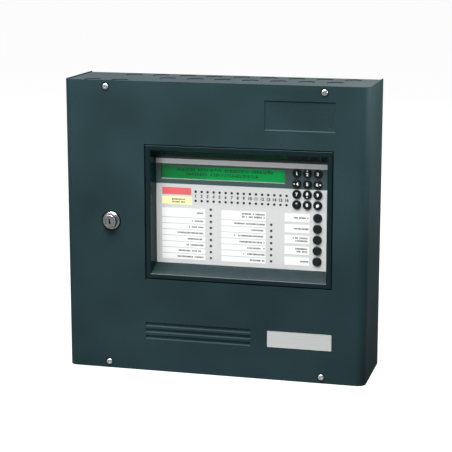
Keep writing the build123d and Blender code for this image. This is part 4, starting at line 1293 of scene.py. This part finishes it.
cell_number = add_node(
    dot_tree, "ShaderNodeMath", {0: cell_share.outputs["Value"]}, operation="FLOOR"
)
blank = add_node(
    dot_tree,
    "FunctionNodeRandomValue",
    {"Probability": 0.16, "ID": cell_number.outputs["Value"], "Seed": given["Seed"]},
    data_type="BOOLEAN",
)
unlit = add_node(
    dot_tree,
    "FunctionNodeRandomValue",
    {"Probability": 0.45, "Seed": given["Seed"]},
    data_type="BOOLEAN",
)
either = add_node(
    dot_tree,
    "FunctionNodeBooleanMath",
    {0: blank.outputs[3], 1: unlit.outputs[3]},
    operation="OR",
)
gone = add_node(
    dot_tree,
    "FunctionNodeBooleanMath",
    {0: either.outputs["Boolean"], 1: gap.outputs["Value"]},
    operation="OR",
)
kept = add_node(
    dot_tree,
    "GeometryNodeDeleteGeometry",
    {"Geometry": laid.outputs["Geometry"], "Selection": gone.outputs["Boolean"]},
    domain="POINT",
)
dot_side = add_node(
    dot_tree, "ShaderNodeMath", {0: given["Dot"], 1: 0.9}, operation="MULTIPLY"
)
dot_thickness = 0.00003
dot_size = add_node(
    dot_tree,
    "ShaderNodeCombineXYZ",
    {
        "X": dot_side.outputs["Value"],
        "Y": dot_thickness,
        "Z": dot_side.outputs["Value"],
    },
)
dot = add_node(dot_tree, "GeometryNodeMeshCube", {"Size": dot_size.outputs["Vector"]})
dots = add_node(
    dot_tree,
    "GeometryNodeInstanceOnPoints",
    {"Points": kept.outputs["Geometry"], "Instance": dot.outputs["Mesh"]},
)
end_tree(dot_tree, dots.outputs["Instances"], dark_dots)

dot_pitch = 0.00055
glass_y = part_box("lcd_glass")[0][1] - dot_thickness
for name, left, level, columns, seed in (
    ("upper_characters", -0.050, 0.2466, 36, 3),
    ("lower_characters", -0.038, 0.2413, 27, 9),
):
    sizes = {
        "Columns": columns,
        "Start": (left, glass_y, low_edge + level),
        "Dot": dot_pitch,
        "Seed": seed,
    }
    grow(name, dot_tree, "box", sizes)

# A pale greenish line along the lower edge of the window is painted highlight: the glint
# on the window's edge, laid on as flat pale ink.
edge_highlight_ink = ink("window_edge_painted_highlight", "#D5EBDA", "#B9DCC2", 0.2)
panel_column(
    "window_edge",
    -0.0690,
    0.0834,
    low_edge + 0.2374,
    0.0006,
    0.01,
    1,
    0.00006,
    edge_highlight_ink,
)

# ---------------------------------------------------------------- switches
# A low click switch is soldered to the display board under each key. Its plunger
# and body are black mouldings, as matt as the chips' packages.
coat(epoxy, "key_switches")

# ---------------------------------------------------------------- keys
# Round glossy black ABS caps come through the film over click switches. The keypad's
# caps have white pad-printed digits and marks, and four of them an arrow as well. The
# function keys are plain.
cap_abs = moulding("black_key_abs", "#101C1E", "#0A1315", 0.2, 0.05)
legend_ink = ink("white_legend_ink", "#FBFCFC", "#F0F2F2", 0.4)
digits = "123456789*0#"
arrows = {"2": ("^", 0, 1), "4": ("<", -1, 0), "6": (">", 1, 0), "8": ("v", 0, -1)}
for number, digit in enumerate(digits):
    name = "keypad_key_%02d" % (number + 1)
    coat(cap_abs, name)
    low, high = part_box(name)
    x, z = (low[0] + high[0]) / 2, (low[2] + high[2]) / 2
    marks = [(digit, 0.0052, x, z)]
    if digit in arrows:
        # The digit gives way a little, and the arrow stands at the cap's edge.
        arrow, right, above = arrows[digit]
        marks = [
            (digit, 0.0050, x - 0.0008 * right, z - 0.0009 * above),
            (arrow, 0.0034, x + 0.0031 * right, z + 0.0029 * above),
        ]
    legend = lettering(name + "_legend", marks, low[1], legend_ink, name + "_body")
for i in range(5):
    coat(cap_abs, "function_key_%d" % (i + 1))

# ---------------------------------------------------------------- cover
# The cover is one folded steel sheet with rolled front edges, a stamped panel and
# three pressed grooves, under a satin dark grey-green powder coat. Nickel-plated
# button-head screws hold it, and push nuts on welded studs hold the bezel to it.
cover_paint = powder_coat("dark_green_grey_powder_coat", "#16292C", "#294044", 0.6)
coat(cover_paint, "front_cover")
coat(bright_metal("nickel_plated_steel", "#F0F1F1", 0.3, "#E0E2E2"), "cover_screws")
coat(zinc_plate, "bezel_nuts")

# ---------------------------------------------------------------- window bezel
# A deep frame moulded in one piece in gloss green-black ABS. Its walls lead in to the
# facia, and its flange is held behind the cover's opening by nuts on studs.
bezel_abs = moulding("green_black_abs", "#12272A", "#0D1F21", 0.19, 0.02)
bezel_shader = bezel_abs.node_tree.nodes["Principled BSDF"]
bezel_shader.inputs["Specular IOR Level"].default_value = 0.22
coat(bezel_abs, "window_bezel")

# ---------------------------------------------------------------- foam seal
# A strip of neoprene foam round the bezel's flange fills the gap between the cover's cut
# edge and the bezel's raised lip. It is near-black as painted shadow, standing in for the
# shade in that gap. Its open pores, 0.4 mm across, make it look quite matt.
painted_shadow_foam, tree, shader, place = new_finish("foam_in_painted_shadow")
pores = add_node(tree, "ShaderNodeTexVoronoi", {"Vector": place, "Scale": 2600.0})
tint = add_node(tree, "ShaderNodeMix", {0: pores.outputs["Distance"]}, data_type="RGBA")
# Painted shadow: the foam's near-black stands in for the shade in the gaps it fills.
tint.inputs[6].default_value = linear("#020303")
tint.inputs[7].default_value = linear("#070909")
tree.links.new(tint.outputs[2], shader.inputs["Base Color"])
relief = add_node(
    tree,
    "ShaderNodeBump",
    {"Height": pores.outputs["Distance"], "Strength": 0.6, "Distance": 0.0002},
)
tree.links.new(relief.outputs["Normal"], shader.inputs["Normal"])
shader.inputs["Roughness"].default_value = 0.95
shader.inputs["Specular IOR Level"].default_value = 0.1


def flat_ring(name, outline, hole, front, depth, material, body):
    """A ring cut from sheet, between two outlines of X and Z with as many points."""
    shape = bmesh.new()
    rings = []
    for path, y in ((outline, front), (hole, front), (hole, front + depth)):
        rings.append([shape.verts.new((x, y, z)) for x, z in path])
    rings.append([shape.verts.new((x, front + depth, z)) for x, z in outline])
    rings.append(rings[0])
    for first, second in zip(rings, rings[1:]):
        for i in range(len(first)):
            shape.faces.new((first[i - 1], first[i], second[i], second[i - 1]))
    bmesh.ops.recalc_face_normals(shape, faces=shape.faces)
    cut = bpy.data.meshes.new(name)
    shape.to_mesh(cut)
    shape.free()
    cut.materials.append(material)
    made = bpy.data.objects.new(name, cut)
    scene.collection.objects.link(made)
    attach(made, body)
    return made


bezel_low, bezel_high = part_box("window_bezel")
middle_x = (bezel_low[0] + bezel_high[0]) / 2
middle_z = (bezel_low[2] + bezel_high[2]) / 2


def window_outline(width, height):
    """The corners of a rectangle round the middle of the window."""
    corners = ((-1, -1), (1, -1), (1, 1), (-1, 1))
    return [(middle_x + a * width / 2, middle_z + b * height / 2) for a, b in corners]


seal_outer = (0.2292, 0.1648)
seal_inner = (0.2271, 0.1627)
seal_front = -0.0989
seal_thickness = 0.0004
# Painted shadow: a near-black ring laid in the gap round the bezel.
seal = flat_ring(
    "gap_shadow_seal",
    window_outline(*seal_outer),
    window_outline(*seal_inner),
    seal_front,
    seal_thickness,
    painted_shadow_foam,
    "cover",
)

# ---------------------------------------------------------------- badge plate
# A thin strip of aluminium is stuck to the cover. It is brushed along its length, in
# marks 0.4 mm apart that are coarser than real so that they show, and left bare.
brushed, tree, shader, place = new_finish("brushed_aluminium")
stretched = add_node(
    tree, "ShaderNodeMapping", {"Vector": place, "Scale": (12.0, 2500.0, 2500.0)}
)
brush = add_node(
    tree,
    "ShaderNodeTexNoise",
    {"Vector": stretched.outputs["Vector"], "Scale": 1.0, "Detail": 3.0},
)
tint = add_node(tree, "ShaderNodeMix", {0: brush.outputs["Fac"]}, data_type="RGBA")
tint.inputs[6].default_value = linear("#DFE2E2")
tint.inputs[7].default_value = linear("#FCFDFD")
tree.links.new(tint.outputs[2], shader.inputs["Base Color"])
relief = add_node(
    tree,
    "ShaderNodeBump",
    {"Height": brush.outputs["Fac"], "Strength": 0.2, "Distance": 0.0001},
)
tree.links.new(relief.outputs["Normal"], shader.inputs["Normal"])
shader.inputs["Metallic"].default_value = 0.75
shader.inputs["Roughness"].default_value = 0.5
coat(brushed, "badge_plate")

# ---------------------------------------------------------------- lock
# A quarter-turn cam lock: a chromed die-cast body through the cover, with a nut behind it,
# and a barrel with its keyway that carries a zinc-plated cam. A thin foam washer lies
# under the flange of the body; its near-black is painted shadow for the gap round the
# lock.
chrome = bright_metal("chromed_die_casting", "#D6D8D9", 0.26, "#AEB2B4")
coat(chrome, "lock_body", "lock_barrel")
coat(zinc_plate, "lock_nut", "lock_cam", "cam_screw")


def circle_outline(x, z, radius, sides=48):
    """Points round a circle."""
    turns = [2 * math.pi * i / sides for i in range(sides)]
    return [(x + radius * math.cos(t), z + radius * math.sin(t)) for t in turns]


barrel_low, barrel_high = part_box("lock_barrel")
lock_x = (barrel_low[0] + barrel_high[0]) / 2
lock_z = (barrel_low[2] + barrel_high[2]) / 2
washer_outer = 0.0122
washer_inner = 0.0102
washer_front = cad_low[1] + 0.0069
washer_thickness = 0.00045
# Painted shadow: the washer's near-black foam stands in for the shade in the gap round the
# lock.
washer = flat_ring(
    "lock_shadow_washer",
    circle_outline(lock_x, lock_z, washer_outer),
    circle_outline(lock_x, lock_z, washer_inner),
    washer_front,
    washer_thickness,
    painted_shadow_foam,
    "cover",
)
